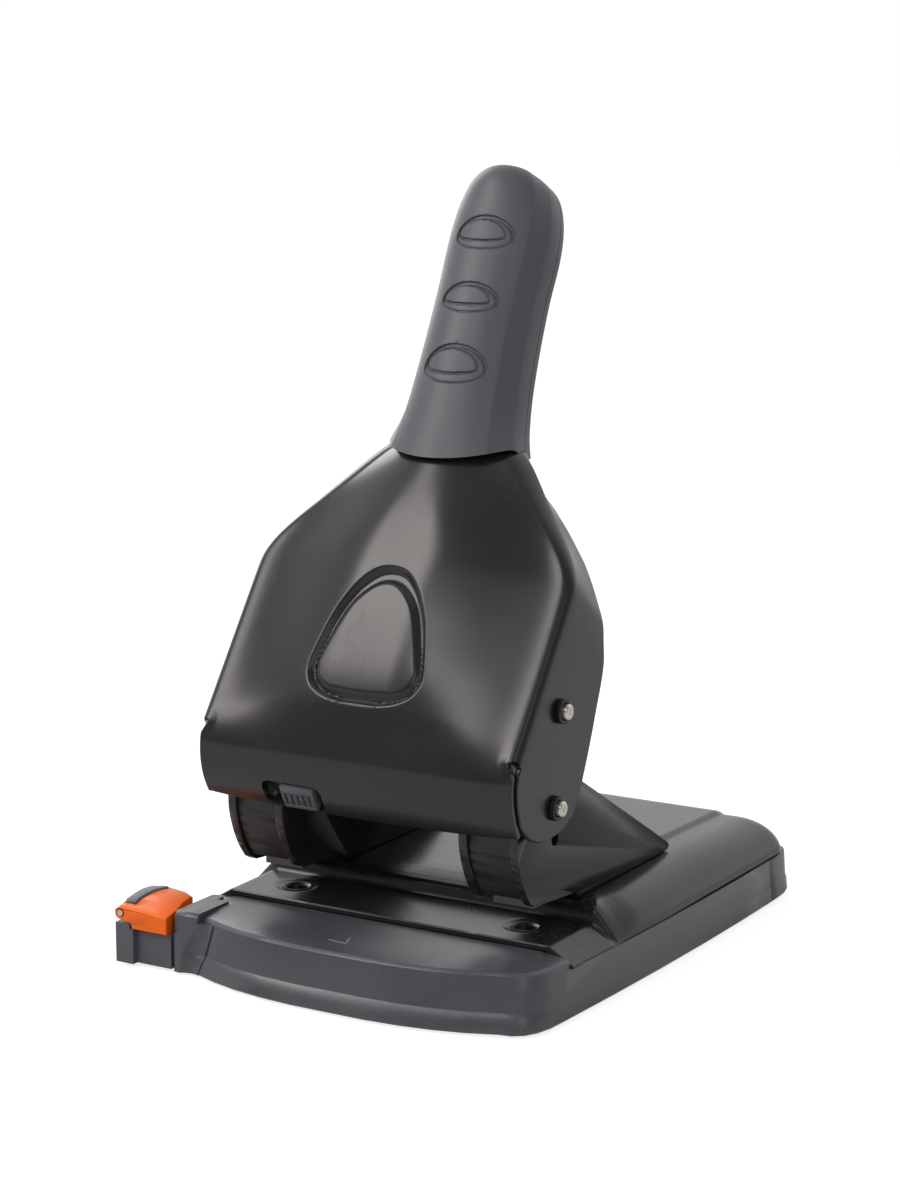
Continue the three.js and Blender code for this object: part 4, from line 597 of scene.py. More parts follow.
def sheetPiece(name, grid, thickness, edge, kept=None, relief=0.0):
    # Outer skin from the grid, inner skin one thickness behind, and a rounded cut edge all round
    # relief is a pressed pattern that moves both skins
    rows, columns = grid.shape[:2]
    kept = np.ones((rows - 1, columns - 1), bool) if kept is None else kept
    number = np.arange(rows * columns).reshape(rows, columns)
    corners = [number[:-1, :-1], number[:-1, 1:], number[1:, 1:], number[1:, :-1]]
    cells = np.stack([corner[kept] for corner in corners], axis=1)
    outer = grid.reshape(-1, 3)
    normal, toward = np.zeros_like(outer), np.zeros_like(outer)
    flat = unit(np.cross(outer[cells[:, 2]] - outer[cells[:, 0]], outer[cells[:, 3]] - outer[cells[:, 1]]))
    centre = outer[cells].mean(axis=1)
    for column in range(4):
        np.add.at(normal, cells[:, column], flat)
        np.add.at(toward, cells[:, column], centre - outer[cells[:, column]])
    normal = unit(normal)
    toward = unit(toward - normal * np.sum(toward * normal, axis=1, keepdims=True))
    shift = np.broadcast_to(relief, grid.shape).reshape(-1, 3)
    outer, inner = outer + shift, outer - normal * thickness + shift
    cells = cells.tolist()
    openEdges = {}
    for cell in cells:
        for start, end in zip(cell, cell[1:] + cell[:1]):
            if openEdges.pop((end, start), None) is None:
                openEdges[(start, end)] = True
    rim = sorted({corner for pair in openEdges for corner in pair})
    place = {corner: index for index, corner in enumerate(rim)}
    skin, back = outer.copy(), inner.copy()
    skin[rim] += toward[rim] * edge
    back[rim] += toward[rim] * edge
    points = np.concatenate([skin, back, outer[rim] - normal[rim] * edge, inner[rim] + normal[rim] * edge])
    total = len(outer)
    faces = [tuple(cell) for cell in cells]
    faces += [tuple(total + corner for corner in reversed(cell)) for cell in cells]
    near, far = 2 * total, 2 * total + len(rim)
    for start, end in openEdges:
        a, b = place[start], place[end]
        faces.append((end, start, near + a, near + b))
        faces.append((near + b, near + a, far + a, far + b))
        faces.append((far + b, far + a, total + start, total + end))
    used = np.zeros(len(points), bool)
    used[[corner for face in faces for corner in face]] = True
    renumber = np.cumsum(used) - 1
    faces = [tuple(int(renumber[corner]) for corner in face) for face in faces]
    return rightWayOut(newPiece(name, points[used], faces))


def plateAlongX(outline, fromX, toX, edge):
    # Outline in Y and Z, counter-clockwise as seen from +X
    ahead = np.roll(outline, -1, axis=0) - outline
    back = outline - np.roll(outline, 1, axis=0)
    tangent = unit(unit(ahead) + unit(back))
    inset = outline + np.stack([-tangent[:, 1], tangent[:, 0]], axis=1) * edge
    rings = ((inset, fromX), (outline, fromX + edge), (outline, toX - edge), (inset, toX))
    return loft("plate", [atX(ring, x) for ring, x in rings])


# Rounded lobe at the foot of each flange: distance up the face and inward
lobe = {
    "points": [
        (4, 4), (0, 3.2), (-3.6, 3.9), (-6.8, 5.9), (-9.7, 8.4), (-12, 11.3),
        (-13.8, 14.6), (-13.9, 23.1), (-9.9, 31.1), (-2.2, 38.4), (7, 40.2),
    ],
    "top": 12.0, "topDepths": [39.3, 6.0], "steps": 8,
}
# Shafts' y and z, the relief holes at the crease's ends, the lock's slot and the guide behind it
fittings = {
    "pivot": (-53.5, 59.2), "tie": (-50.3, 86.9), "bore": 2.7,
    "relief": {"x": 52.9, "up": -0.6, "radius": 1.5, "reach": (2.4, -8.0), "sides": 24},
    "slot": {"x": (-31.5, -10.6), "shares": (0.62, 0.94), "round": 2.6, "steps": 7, "reach": (1.5, -3.5)},
    "lockGuide": {"x": (-33.0, -9.6, 5), "shares": (0.52, 0.94, 14), "offsets": (-3.9, -4.6)},
}


def slotCutter():
    # Rounded slot drawn on the roll and pushed through the sheet
    slot = fittings["slot"]
    low, high = np.array([slot["x"], [share * rollArc for share in slot["shares"]]]).T
    signs = np.repeat([(1, 1), (-1, 1), (-1, -1), (1, -1)], slot["steps"], axis=0)
    turns = np.concatenate([np.linspace(turn, turn + 1, slot["steps"]) for turn in range(4)]) * math.pi / 2
    outline = (low + high) / 2 + signs * ((high - low) / 2 - slot["round"])
    x, along = (outline + slot["round"] * np.column_stack([np.cos(turns), np.sin(turns)])).T
    return loft("cutter", [rollPoint(x, along / rollArc, offset) for offset in slot["reach"]])


def reliefCutter(side):
    relief = fittings["relief"]
    middle = np.array([side * relief["x"], lever["creaseY"], lever["creaseZ"]]) + faceUp * relief["up"]
    ring = circleOf(1.0, relief["sides"])
    circle = relief["radius"] * (ring[:, :1] * np.array([1.0, 0, 0]) + ring[:, 1:] * faceUp)
    return loft("cutter", [middle + circle + faceIn * along for along in relief["reach"]])


def buildLever():
    grid, kept, relief = leverGrid()
    body = sheetPiece("leverShell", grid, lever["sheet"], lever["edgeRound"], kept, relief)
    lobeLine = splineThrough([facePoint(0, up, inward)[1:] for up, inward in lobe["points"]], lobe["steps"])
    lobeTop = [facePoint(0, lobe["top"], inward)[1:] for inward in lobe["topDepths"]]
    outline = np.concatenate([lobeLine, lobeTop])
    plates = []
    for side in (-1, 1):
        edges = sorted((side * lever["halfWidth"], side * (lever["halfWidth"] - lever["sheet"])))
        plates.append(plateAlongX(outline, *edges, lever["edgeRound"]))
    combined(body, plates, "UNION")
    reach = lever["halfWidth"] + 2
    cutters = [slotCutter(), reliefCutter(-1), reliefCutter(1)]
    cutters += [barAlong(0, fittings["bore"], -reach, reach, *fittings[key]) for key in ("pivot", "tie")]
    return smoothed(combined(body, cutters), 38)


leverShell = seated(buildLever(), "lever_body")


def buildLockGuide():
    # Thin guide behind the lock's slot, bent like the roll
    guide = fittings["lockGuide"]
    shares = np.linspace(*guide["shares"])
    line = np.concatenate([shares, shares[::-1]])
    offset = np.repeat(guide["offsets"], len(shares))
    return smoothed(loft("lockGuide", [rollPoint(x, line, offset) for x in np.linspace(*guide["x"])]), 40)


lockGuide = buildLockGuide()
lockGuide.data.materials.append(insideBlack)
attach(lockGuide, nodeBody["lever_body"])
print("lever shell made with", len(leverShell.data.polygons), "faces")

# Grip: two moulded halves that meet at a side seam. Curves run up its height
grip = {
    "bottom": 153.6, "lean": math.radians(25.4), "sideY": -22.8, "halfWidth": 20.2, "crown": 11.2,
    "sideDepth": 9.3, "backDepth": 6.0, "least": (0.4, 0.3), "wall": 1.8, "cavityDrop": 1.5, "seam": 0.3,
    "width": (
        [0, 5, 12, 26, 46, 60, 66, 70, 73, 76, 78.2, 80, 81.2, 81.9],
        [1.08, 1.0, 0.935, 0.865, 0.825, 0.84, 0.815, 0.775, 0.725, 0.655, 0.57, 0.45, 0.3, 0.08],
    ),
    "depth": ([0, 66, 70, 73, 76, 78.2, 80, 81.2, 81.9], [1, 1, 0.985, 0.965, 0.93, 0.86, 0.74, 0.56, 0.3]),
    "turn": ([0, 12, 26, 46, 60, 81.9], [0, 0.18, 0.42, 0.8, 1, 1]), "capFrom": 64.0, "cornerFrom": 0.7,
    "cornerReach": 2.4, "archHeight": 17.0, "archSide": 2.2, "archRear": -1.6,
    "seamBlock": {"z": (140.0, 250.0), "y": 150.0, "x": (-80.0, 80.0)},
    # rows: the walls' from, to and number, and the cap's start, height and number
    "wallRows": [(0, 17, 14), (0, 67, 46)], "capRows": (67, 14.88, 16), "cavityRows": (0, 66, 16),
    "cavityCapRows": (66, 15.2, 10), "crownColumns": 140, "cavityColumns": 30, "cornerColumns": 12,
    "backColumns": 33,
}
moonMarks = {
    # height of the middle, half width and height
    "places": [(179.5, 10.6, 12.8), (198.6, 9.6, 10.1), (217.2, 9.9, 11.4)], "shift": 0.7, "edge": 0.24,
    # outer outline and inner moon: share of half width, shares of height over and under, shift,
    # widths of the line at its top and bottom, depths there
    "rings": [
        (1.0, 0.56, 0.44, 0.0, (1.3, 0.75), (0.85, 0.42)),
        (0.82, 0.44, 0.22, -0.6, (0.6, 1.15), (0.42, 0.85)),
    ],
    # shares of height over which the line turns from its bottom to its top
    "turn": (-0.25, 0.1), "sides": 48,
    # rows over each mark: share of the crown to leave out, start under the middle and reach as
    # shares of the mark's height, and rows a millimetre
    "rows": (0.39, 0.56, 1.24, 4.8),
}
gripWidthAt, gripDepthAt, gripTurnAt = (curveThrough(*grip[key]) for key in ("width", "depth", "turn"))


def moonLines(x, up, wide, tall):
    cut = 0
    low, high = moonMarks["turn"]
    top = smoothStep(up, low * tall, high * tall)
    for share, over, under, shift, (lineTop, lineLow), (deepTop, deepLow) in moonMarks["rings"]:
        ring = circleOf(1.0, moonMarks["sides"])
        ring[:, 0] *= wide * share
        ring[:, 1] *= np.where(ring[:, 1] > 0, tall * over, tall * under)
        inside = depthInside(ring, x - shift, up)
        line = smoothStep(mix(lineLow, lineTop, top) - inside, 0, moonMarks["edge"])
        cut = cut + smoothStep(inside, 0, moonMarks["edge"]) * line * mix(deepLow, deepTop, top)
    return cut


def crownLine(halfWidth, front, columns):
    # Arc across the crown, then a flat facet down to the side
    radius = (halfWidth**2 + front**2) / (2 * front)
    reach = math.atan2(halfWidth, radius - front) * grip["cornerFrom"]
    turns = np.linspace(-reach, reach, columns)
    arc = np.column_stack([radius * np.sin(turns), radius - front - radius * np.cos(turns)])
    shares = np.linspace(0, 1, grip["cornerColumns"])[1:, None]
    corner = mix(arc[-1], np.array([halfWidth, grip["cornerReach"]]), shares)
    return np.concatenate([corner[::-1] * np.array([-1, 1]), arc, corner])


def gripRing(height, columns, inset, drop, marks):
    leastWidth, leastDepth = grip["least"]
    depthShare = float(gripDepthAt(height))
    halfWidth = max(grip["halfWidth"] * float(gripWidthAt(height)) - inset, leastWidth)
    front = max(grip["crown"] * depthShare - inset, leastDepth)
    back = max(grip["backDepth"] * depthShare - inset, leastDepth)
    sine, cosine, rise = (turned(grip["lean"]) for turned in (math.sin, math.cos, math.tan))
    tilt = rise * float(gripTurnAt(height))
    z = grip["bottom"] + height - drop
    x, depth = crownLine(halfWidth, front, columns).T
    if marks:
        # Distance up the crown of each point, against the middle of each mark
        along = (z - grip["bottom"]) / cosine + depth / (1 + rise * tilt) * (sine - tilt * cosine)
        foot = grip["crown"] * sine * cosine + grip["bottom"]
        depth = depth + sum(
            moonLines(x - moonMarks["shift"], along - (middle - foot) / cosine, wide, tall)
            for middle, wide, tall in moonMarks["places"]
        )
    turns = np.linspace(0, math.pi, grip["backColumns"])
    x = np.concatenate([x, halfWidth * np.sign(np.cos(turns)) * np.sqrt(np.abs(np.cos(turns)))])
    backDepth = grip["sideDepth"] * depthShare + back * np.sqrt(np.clip(np.sin(turns), 0, 1))
    depth = np.concatenate([depth, backDepth])
    across = depth / (1 + rise * tilt)
    # The lower edge arches up toward the sides and falls toward the rear
    low = 1 - smoothStep(height, 0, grip["archHeight"])
    sideward = np.clip(np.abs(x) / grip["halfWidth"], 0, 1) ** 2
    arch = mix(grip["archSide"] * sideward, grip["archRear"], smoothStep(depth, 1.0, grip["sideDepth"]))
    y = grip["sideY"] + (z - grip["bottom"]) * rise + across
    return np.column_stack([x, y, z - tilt * across + arch * low])


def capRows(start, height, rows):
    return start + height * np.sin(np.linspace(0, math.pi / 2, rows))


def gripHeights():
    rows = [np.linspace(*span) for span in grip["wallRows"]] + [capRows(*grip["capRows"])]
    ahead, under, reach, pitch = moonMarks["rows"]
    for middle, _, tall in moonMarks["places"]:
        low = middle - grip["bottom"] - grip["crown"] * ahead - tall * under
        rows.append(np.linspace(low, low + tall * reach, int(tall * pitch)))
    return np.unique(np.round(np.concatenate(rows), 3))


def buildGripHalf(front):
    outside = [gripRing(height, grip["crownColumns"], 0.0, 0.0, True) for height in gripHeights()]
    shell = loft("gripFrontShell" if front else "gripRearShell", outside)
    # The cavity is one wall smaller and opens through the lower edge
    inside = []
    for height in np.concatenate([np.linspace(*grip["cavityRows"]), capRows(*grip["cavityCapRows"])[1:]]):
        under = grip["wall"] if height > grip["capFrom"] else 0
        drop = grip["cavityDrop"] if height == 0 else 0.0
        inside.append(gripRing(height - under, grip["cavityColumns"], grip["wall"], drop, False))
    combined(shell, [loft("cavity", inside)])
    # One side of the seam is kept
    block, way = grip["seamBlock"], -1 if front else 1
    foot, rise = grip["sideY"] + grip["sideDepth"], math.tan(grip["lean"])
    seam = [(foot + (z - grip["bottom"]) * rise + way * grip["seam"] / 2, z) for z in block["z"]]
    outline = seam + [(way * block["y"], z) for z in reversed(block["z"])]
    combined(shell, [loft("half", [atX(outline, x) for x in block["x"]])], "INTERSECT")
    return smoothed(shell, 34)


gripFront = seated(buildGripHalf(True), "grip_front")
gripRear = seated(buildGripHalf(False), "grip_rear")
print("grip made with", len(gripFront.data.polygons), "and", len(gripRear.data.polygons), "faces")

# Deck plate: table, paper stop and deck in one sheet
deck = {
    "tableTop": 20.0, "top": 26.0, "rearTop": 24.9, "frontHalfWidth": 63.6, "halfWidth": 65.6,
    "tableFront": -59.2, "rear": 87.6, "rim": 14.9, "trim": 14.6,
    "trimBlock": [(-99, -99), (99, -99), (99, 120), (-99, 120)], "shoulder": 16.0, "tableShoulder": 8.4,
    "rearShoulder": 10.0, "stop": -33.5, "padHalfWidth": 43.0, "padFront": 32.0, "padRise": 1.0,
    "padSoft": 1.0, "slopeStart": 30.0,
    "stopCurve": ([-2, 0, 0.6, 2.6, 7, 13], [0, 0.02, 0.44, 0.76, 0.95, 1]), "sheet": 2.0, "edgeRound": 0.4,
    "dieX": 40.0, "dieY": -45.5, "dieBore": (4.7, 15, 28), "dimple": (4.6, 7.4, 0.45),
    # pitch of the grid: from, to and number of points
    "shareSpans": [(0, 0.84, 30), (0.84, 1, 10), (0.56, 0.84, 40)],
    "rowSpans": [
        (-59.2, -54, 8), (-54, -37, 44), (-37, -18, 46), (-18, 30, 30), (30, 34, 10), (34, 77.6, 24),
    ],
    "shoulderSteps": 15, "rearSteps": 14,
}
stopAt = curveThrough(*deck["stopCurve"])


def deckGrid():
    flatShares = np.unique(np.round(spread(deck["shareSpans"]), 4))
    shoulderShares = 1 + np.sin(np.linspace(0, math.pi / 2, deck["shoulderSteps"]))[1:]
    shares = np.concatenate([flatShares, shoulderShares])
    rows = spread(deck["rowSpans"])
    rearShares = np.sin(np.linspace(0, math.pi / 2, deck["rearSteps"]))[1:]
    y = np.concatenate([rows, deck["rear"] - deck["rearShoulder"] * (1 - rearShares)])[:, None]
    rearShare = np.concatenate([np.zeros(len(rows)), rearShares])[:, None]
    onDeck = smoothStep(y, deck["stop"], deck["stop"] + deck["shoulder"])
    half = mix(deck["frontHalfWidth"], deck["halfWidth"], smoothStep(y, deck["tableFront"], 0))
    shoulder = mix(deck["tableShoulder"], deck["shoulder"], onDeck)
    rounding = np.sqrt(np.clip(1 - rearShare**2, 0, 1))
    shoulderShare = np.clip(shares - 1, 0, None) * rounding
    x = (half - shoulder) * np.minimum(1, shares) + shoulder * shoulderShare
    fall = smoothStep(y, deck["slopeStart"], deck["rear"])
    height = deck["tableTop"] + (deck["top"] - deck["tableTop"]) * stopAt(y - deck["stop"])
    height = height - (deck["top"] - deck["rearTop"]) * fall
    curved = np.sqrt(np.clip(1 - shoulderShare**2 - rearShare**2, 0, 1))
    drop = mix(1 - shoulderShare, curved, onDeck)
    side, soft, front = deck["padHalfWidth"], deck["padSoft"], deck["padFront"]
    pad = deck["padRise"] * (1 - smoothStep(x, side - soft, side + soft))
    pad = pad * smoothStep(y, front - 2 * soft, front)
    z = deck["rim"] + (height - deck["rim"] + pad) * drop
    near, far, deep = deck["dimple"]
    away = np.hypot(x - deck["dieX"], y - deck["dieY"])
    z = z - deep * (1 - smoothStep(away, near, far))
    return mirrored(np.stack(np.broadcast_arrays(x, y + 0 * x, z), axis=-1))


def buildDeck():
    shell = sheetPiece("deckShell", deckGrid(), deck["sheet"], deck["edgeRound"])
    cutters = [loft("cutter", [atHeight(deck["trimBlock"], z) for z in (0, deck["trim"])])]
    cutters += [barAlong(2, *deck["dieBore"], side * deck["dieX"], deck["dieY"]) for side in (-1, 1)]
    return smoothed(combined(shell, cutters), 40)


deckShell = seated(buildDeck(), "deck_plate", "die_plate")
print("deck made with", len(deckShell.data.polygons), "faces")

# Tray: the node's own shape, with the housing run into the front wall by a cove
tray = {
    "halfWidth": 67.3, "front": -92.0, "bow": (0.47, 1.013), "corner": (0.78, 0.904), "wallSteps": 200,
    "slopeStep": 0.5,
    # height, share of the front reach, front of the housing there
    "levels": [
        (0.05, 0.99, -85.6), (0.9, 1.0, -85.4), (5.1, 0.982, -84.6), (6, 0.973, -84.4), (16.0, 0.962, -83.2),
    ],
    "fillLeft": -56.0, "fillSteps": 8, "overlap": 0.3, "behind": 1.2, "coveX": (-50.6, -45.4),
    "coveRadius": 6.5, "coveSides": 64, "coveClear": 0.1, "coveEnds": (-2.0, 0.6), "edge": 0.35,
}


def trayWallAt(x, frontShare):
    # Front wall's y and its outward normal at x, left of the middle
    t = np.linspace(0, 1, tray["wallSteps"])
    reach = tray["front"] * frontShare
    bowX, bowY = tray["bow"][0] * tray["halfWidth"], tray["bow"][1] * reach
    endX, endY = tray["corner"][0] * tray["halfWidth"], tray["corner"][1] * reach
    lineX = 2 * bowX * t * (1 - t) + endX * t**2
    lineY = reach * (1 - t) ** 2 + 2 * bowY * t * (1 - t) + endY * t**2
    step = tray["slopeStep"]
    before, y, after = np.interp(abs(x) + np.array([-step, 0, step]), lineX, lineY)
    slope = (before - after) / (2 * step)
    return y, np.array([slope, -1.0]) / math.hypot(slope, 1.0)


def buildTray():
    shell = copyOf("base_tray", "Moulded")
    fill, cove = [], []
    for z, share, front in tray["levels"]:
        middle = mix(*tray["coveX"], z / tray["levels"][-1][0])
        xs = np.linspace(tray["fillLeft"], middle + tray["overlap"], tray["fillSteps"])
        walls = np.array([trayWallAt(x, share)[0] for x in xs])
        ring = list(zip(xs, np.minimum(front, walls + tray["overlap"])))
        fill.append(atHeight(ring + list(zip(xs[::-1], walls[::-1] + tray["behind"])), z))
        wall, outward = trayWallAt(middle, share)
        centre = np.array([middle, wall]) + outward * (tray["coveRadius"] + tray["coveClear"])
        cove.append(atHeight(centre + circleOf(tray["coveRadius"], tray["coveSides"]), z))
    under, over = (np.array([0, 0, rise]) for rise in tray["coveEnds"])
    cove = [cove[0] + under, *cove, cove[-1] + over]
    combined(shell, [loft("fill", fill)], "UNION")
    combined(shell, [loft("cutter", cove)])
    return smoothed(softened(tidied(shell, 0.01), tray["edge"], 28), 30)


trayShell = seated(buildTray(), "base_tray")

# Thin pale corner line that lies on the apron
mark = {
    "points": [(-5.8, -80.3), (0.4, -80.9), (-0.9, -76.6)], "halfWidth": 0.21, "thickness": 0.12,
    "lift": 0.04, "height": 17.0, "steps": 9,
}


def buildMark():
    start, corner, end = (np.array(point) for point in mark["points"])
    half, points, faces = mark["halfWidth"], [], []
    for a, b in ((start, corner), (corner, end)):
        length = np.linalg.norm(b - a)
        ahead = (b - a) / length
        side = np.array([-ahead[1], ahead[0]]) * half
        base = len(points)
        for step in np.linspace(-half, length + half, mark["steps"]):
            for offset in (-side, side):
                place = a + ahead * step + offset
                found, hit, _, _ = trayShell.ray_cast(Vector((*(place * mm), 0.05)), Vector((0, 0, -1)))
                points.append((*place, hit.z / mm + mark["lift"] if found else mark["height"]))
        faces += [(low, low + 2, low + 3, low + 1) for low in range(base, len(points) - 2, 2)]
    piece = rightWayOut(newPiece("apronMark", points, faces))
    wall = piece.modifiers.new("wall", "SOLIDIFY")
    wall.thickness = mark["thickness"] * mm
    wall.offset = 0
    finished(piece)
    piece.data.materials.append(markPrint)
    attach(piece, nodeBody["base_tray"])
    return piece


apronMark = buildMark()
print("tray made with", len(trayShell.data.polygons), "faces")

# Nodes whose shape is right get soft edges: the edge's width, and the angle it starts from
softEdges = {
    "chip_drawer": (0.35, 28), "guide_arm": (0.4, 30), "guide_latch": (0.45, 24), "latch_pad": (0.3, 24),
    "latch_pin": (0.15, 40), "bracket": (0.3, 40), "bracket_guard": (0.25, 40), "lock_slider": (0.22, 40),
    "pivot_ring": (0.25, 40), "tie_ring": (0.25, 40), "die": (0.15, 40),
}
for kind, edge in softEdges.items():
    for node in (kind, kind + "_left", kind + "_right"):
        if node in frame["nodes"]:
            seated(smoothed(softened(copyOf(node), *edge), 30), node)
print("soft edges made")


# Geometry Nodes trees: a coiled spring, and one shape copied to many places
def closeTree(given, result, geometry):
    # Every tree ends in real mesh with its finish
    realize = add(geometry.id_data, "RealizeInstances", Geometry=geometry)
    feed(result, Geometry=add(geometry.id_data, "SetMaterial", Geometry=realize, Material=given["Finish"]))


springTree, springIn, springOut = newTree(
    "coiledSpring",
    "GeometryNodeTree",
    {
        "Geometry": "Geometry", "Coil Radius": "Float", "Wire Radius": "Float", "Turns": "Float",
        "Height": "Float", "Place": "Vector", "Finish": "Material",
    },
    {"Geometry": "Geometry"},
)
coil = add(springTree, "CurveSpiral", Resolution=28, Height=springIn["Height"])
feed(coil, Start_Radius=springIn["Coil Radius"], End_Radius=springIn["Coil Radius"])
feed(coil, Rotations=springIn["Turns"])
upright = add(springTree, "SetCurveNormal", {"mode": "Z_UP"}, Curve=coil)
wire = add(springTree, "CurvePrimitiveCircle", Resolution=12, Radius=springIn["Wire Radius"])
tube = add(springTree, "CurveToMesh", Curve=upright, Profile_Curve=wire, Fill_Caps=True)
springSmooth = add(springTree, "SetShadeSmooth", Geometry=tube)
springMove = add(springTree, "Transform", Geometry=springSmooth, Translation=springIn["Place"])
closeTree(springIn, springOut, springMove)

copiesTree, copiesIn, copiesOut = newTree(
    "copiesAtPoints",
    "GeometryNodeTree",
    {"Geometry": "Geometry", "Shape": "Object", "Lean": "Vector", "Finish": "Material"},
    {"Geometry": "Geometry"},
)
copiedShape = add(copiesTree, "ObjectInfo", {"transform_space": "ORIGINAL"}, Object=copiesIn["Shape"])
copiesPlaces = add(copiesTree, "MeshToPoints", Mesh=copiesIn["Geometry"])
copiesLean = feed(copiesTree.nodes.new("FunctionNodeEulerToRotation"), Euler=copiesIn["Lean"])
copiesMade = add(copiesTree, "InstanceOnPoints", Points=copiesPlaces, Rotation=copiesLean)
feed(copiesMade, Instance=copiedShape.outputs["Geometry"])
closeTree(copiesIn, copiesOut, copiesMade)


def grown(piece, tree, **values):
    # Inputs are set by the identifier of their socket, before the object is first evaluated
    shape = piece.modifiers.new("shape", "NODES")
    shape.node_group = tree
    named = {item.name: item.identifier for item in tree.interface.items_tree if item.in_out == "INPUT"}
    for label, value in values.items():
        shape[named[label.replace("_", " ")]] = value
    return finished(piece)


spring = {
    "radius": 4.1, "wire": 0.45, "turns": 7.0, "x": 40.0, "y": -45.5, "low": 35.32, "high": 53.38,
    "travel": 9.25,
}
for side, x in (("left", -spring["x"]), ("right", spring["x"])):
    piece = grown(
        newPiece("returnSpring" + side.title(), [(0, 0, 0)], []), springTree,
        Coil_Radius=spring["radius"] * mm, Wire_Radius=spring["wire"] * mm, Turns=spring["turns"],
        Height=(spring["high"] - spring["low"] - 2 * spring["wire"]) * mm,
        Place=(x * mm, spring["y"] * mm, (spring["low"] + spring["wire"]) * mm), Finish=springSteel,
    )
    seated(piece, "return_spring_" + side)
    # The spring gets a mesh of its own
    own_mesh(piece)
print("springs made")

screw = {
    "shank": 1.5, "tip": (0.5, 0.8), "head": 2.9, "headHeight": 2.0, "headEdge": 0.35,
    "domeTurns": (0.35, 1.35, 5), "recess": (1.7, 0.42, 0.9), "sides": 32,
    # points, length below the head, lean, nodes that they stand for
    "rows": {
        "bracketScrews": (
            [(-40, -14, 28.6), (-40, 14, 28.6), (40, -14, 28.6), (40, 14, 28.6)], 7.5, 0.0,
            [f"bracket_screw_{side}_{place}" for side in ("left", "right") for place in (1, 2)],
        ),
        "trayScrews": (
            [(-57, -22, 2.3), (57, -22, 2.3), (-57, 58, 2.3), (57, 58, 2.3)], 17.0, math.pi,
            [f"tray_screw_{place}" for place in (1, 2, 3, 4)],
        ),
    },
}


def screwShape(length):
    # Domed head up, its seat at height 0, with a cross recess
    head, tall, shank, edge = (screw[key] for key in ("head", "headHeight", "shank", "headEdge"))
    tipShare, tipHeight = screw["tip"]
    profile = [(shank * tipShare, -length), (shank, -length + tipHeight), (shank, 0), (head, 0)]
    profile.append((head, edge * tall))
    turns = np.linspace(*screw["domeTurns"])
    profile += [(head * math.cos(a), tall * (edge + (1 - edge) * math.sin(a))) for a in turns]
    body = loft("screwShape", [atHeight(circleOf(radius, screw["sides"]), z) for radius, z in profile])
    reach, half, deep = screw["recess"]
    bars = []
    for wide, high in ((reach, half), (half, reach)):
        corners = [(-wide, -high), (wide, -high), (wide, high), (-wide, high)]
        bars.append(loft("cutter", [atHeight(corners, z) for z in (tall - deep, tall + 1)]))
    return smoothed(combined(body, bars), 30)


for name, (points, length, lean, nodes) in screw["rows"].items():
    shape = screwShape(length)
    piece = newPiece(name, points, [])
    grown(piece, copiesTree, Shape=shape, Lean=(lean, 0.0, 0.0), Finish=darkSteel)
    bpy.data.objects.remove(shape)
    seated(piece, *nodes)
print("screws made")

# Shafts with turned ends: share of the radius and distance from the end, then a domed edge
shaft = {
    "radius": 2.4, "halfLength": 57.0, "end": [(0.3, 0.45), (0.42, 0.1), (0.6, 0)], "dome": 0.8,
    "domeTurns": (0.3, 1.57, 6), "sides": 40,
}


def buildShaft(name):
    radius, half, dome = shaft["radius"], shaft["halfLength"], shaft["dome"]
    profile = [(radius * share, half - back) for share, back in shaft["end"]]
    turns = np.linspace(*shaft["domeTurns"])
    profile += [(radius - dome + dome * math.sin(a), half - dome + dome * math.cos(a)) for a in turns]
    rows = [(r, -x) for r, x in profile] + [(r, x) for r, x in reversed(profile)]
    rings = [atX(circleOf(r, shaft["sides"]) + fittings[name], x) for r, x in rows]
    return smoothed(loft(name + "ShaftTurned", rings), 30)


for name in ("pivot", "tie"):
    seated(buildShaft(name), name + "_shaft")
print("shafts made")

# Studio: white floor and backdrop, soft lamps, and a dimmer room on the camera's side
studio = {
    "floorHeight": -0.8, "floorHalf": 6000.0, "floorColour": 0.42, "floorGlow": 0.8, "floorMirrored": 0.34,
    "worldSoft": 0.55, "worldFront": 0.3, "worldTurn": (-0.35, 0.5), "towardBack": (-0.51, 0.86, 0.0),
}


def shinyRay(path):
    return math2("MAXIMUM", path.outputs["Is Glossy Ray"], path.outputs["Is Transmission Ray"])


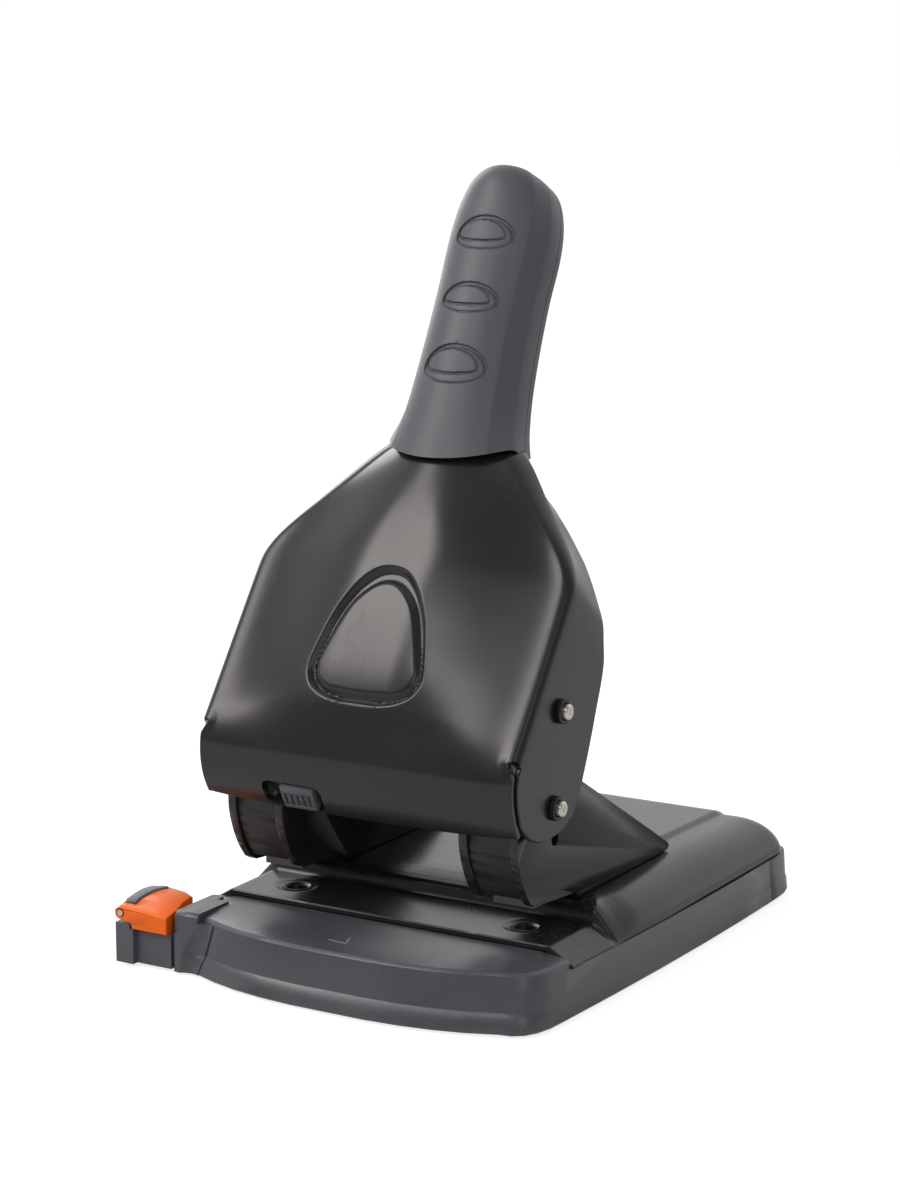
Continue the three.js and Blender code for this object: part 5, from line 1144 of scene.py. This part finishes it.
floorMaterial = bpy.data.materials.new("studioFloor")
floorMaterial.use_nodes = True
floorTree = floorMaterial.node_tree
floorPath = add(floorTree, "LightPath")
floorShiny = math2("MULTIPLY", shinyRay(floorPath), studio["floorMirrored"])
floorGlow = math2("MULTIPLY_ADD", floorPath.outputs["Is Camera Ray"], studio["floorGlow"], floorShiny)
feed(
    floorTree.nodes["Principled BSDF"],
    Base_Color=(*[studio["floorColour"]] * 3, 1), Roughness=0.9, Specular_IOR_Level=0.1,
    Emission_Color=(1, 1, 1, 1), Emission_Strength=floorGlow,
)
floorEdge, floorZ = studio["floorHalf"], studio["floorHeight"]
floorCorners = [(x * floorEdge, y * floorEdge, floorZ) for x, y in ((-1, -1), (1, -1), (1, 1), (-1, 1))]
floor = newPiece("studioFloor", floorCorners, [(0, 1, 2, 3)])
floor.data.materials.append(floorMaterial)

# The camera sees a white world, reflections see one that is dim on the camera's side
world = bpy.data.worlds.new("studioWorld")
bpy.context.scene.world = world
world.use_nodes = True
worldTree = world.node_tree
worldPath = add(worldTree, "LightPath")
worldFacing = add(worldTree, "VectorMath", {"operation": "DOT_PRODUCT"})
give(worldFacing.inputs[0], add(worldTree, "TexCoord").outputs["Generated"])
give(worldFacing.inputs[1], studio["towardBack"])
mirroredRoom = mapped(worldFacing.outputs["Value"], *studio["worldTurn"], studio["worldFront"])
mirroredExtra = math2("SUBTRACT", mirroredRoom, studio["worldSoft"])
room = math2("MULTIPLY_ADD", shinyRay(worldPath), mirroredExtra, studio["worldSoft"])
whiteOrRoom = math2("MULTIPLY_ADD", worldPath.outputs["Is Camera Ray"], math2("SUBTRACT", 1.0, room), room)
feed(worldTree.nodes["Background"], Color=(1, 1, 1, 1), Strength=whiteOrRoom)

# Lamps' places and sizes are in metres
lamps = {
    "overLeft": {"place": (-0.84, -0.84, 1.13), "size": (0.55, 0.8), "power": 8.6, "tint": (1, 0.95, 0.925)},
    "overFront": {"place": (-0.12, -1.25, 1.25), "size": (0.8, 0.35), "power": 3.8},
    "frontRight": {"place": (1.05, -0.9, 0.75), "size": (0.5, 0.9), "power": 1.7},
    "behindLeft": {"place": (-0.95, 0.55, 0.6), "size": (0.4, 0.9), "power": 3.4},
}
lampAim = Vector((0, -0.02, 0.09))
for name, lamp in lamps.items():
    data = bpy.data.lights.new(name, "AREA")
    data.shape = "RECTANGLE"
    data.size, data.size_y = lamp["size"]
    data.energy = lamp["power"]
    data.color = lamp.get("tint", (1.0, 1.0, 1.0))
    aimed(newObject(name, data), lamp["place"], lampAim - Vector(lamp["place"]))
bpy.context.scene.view_settings.view_transform = "Standard"
print("studio made")
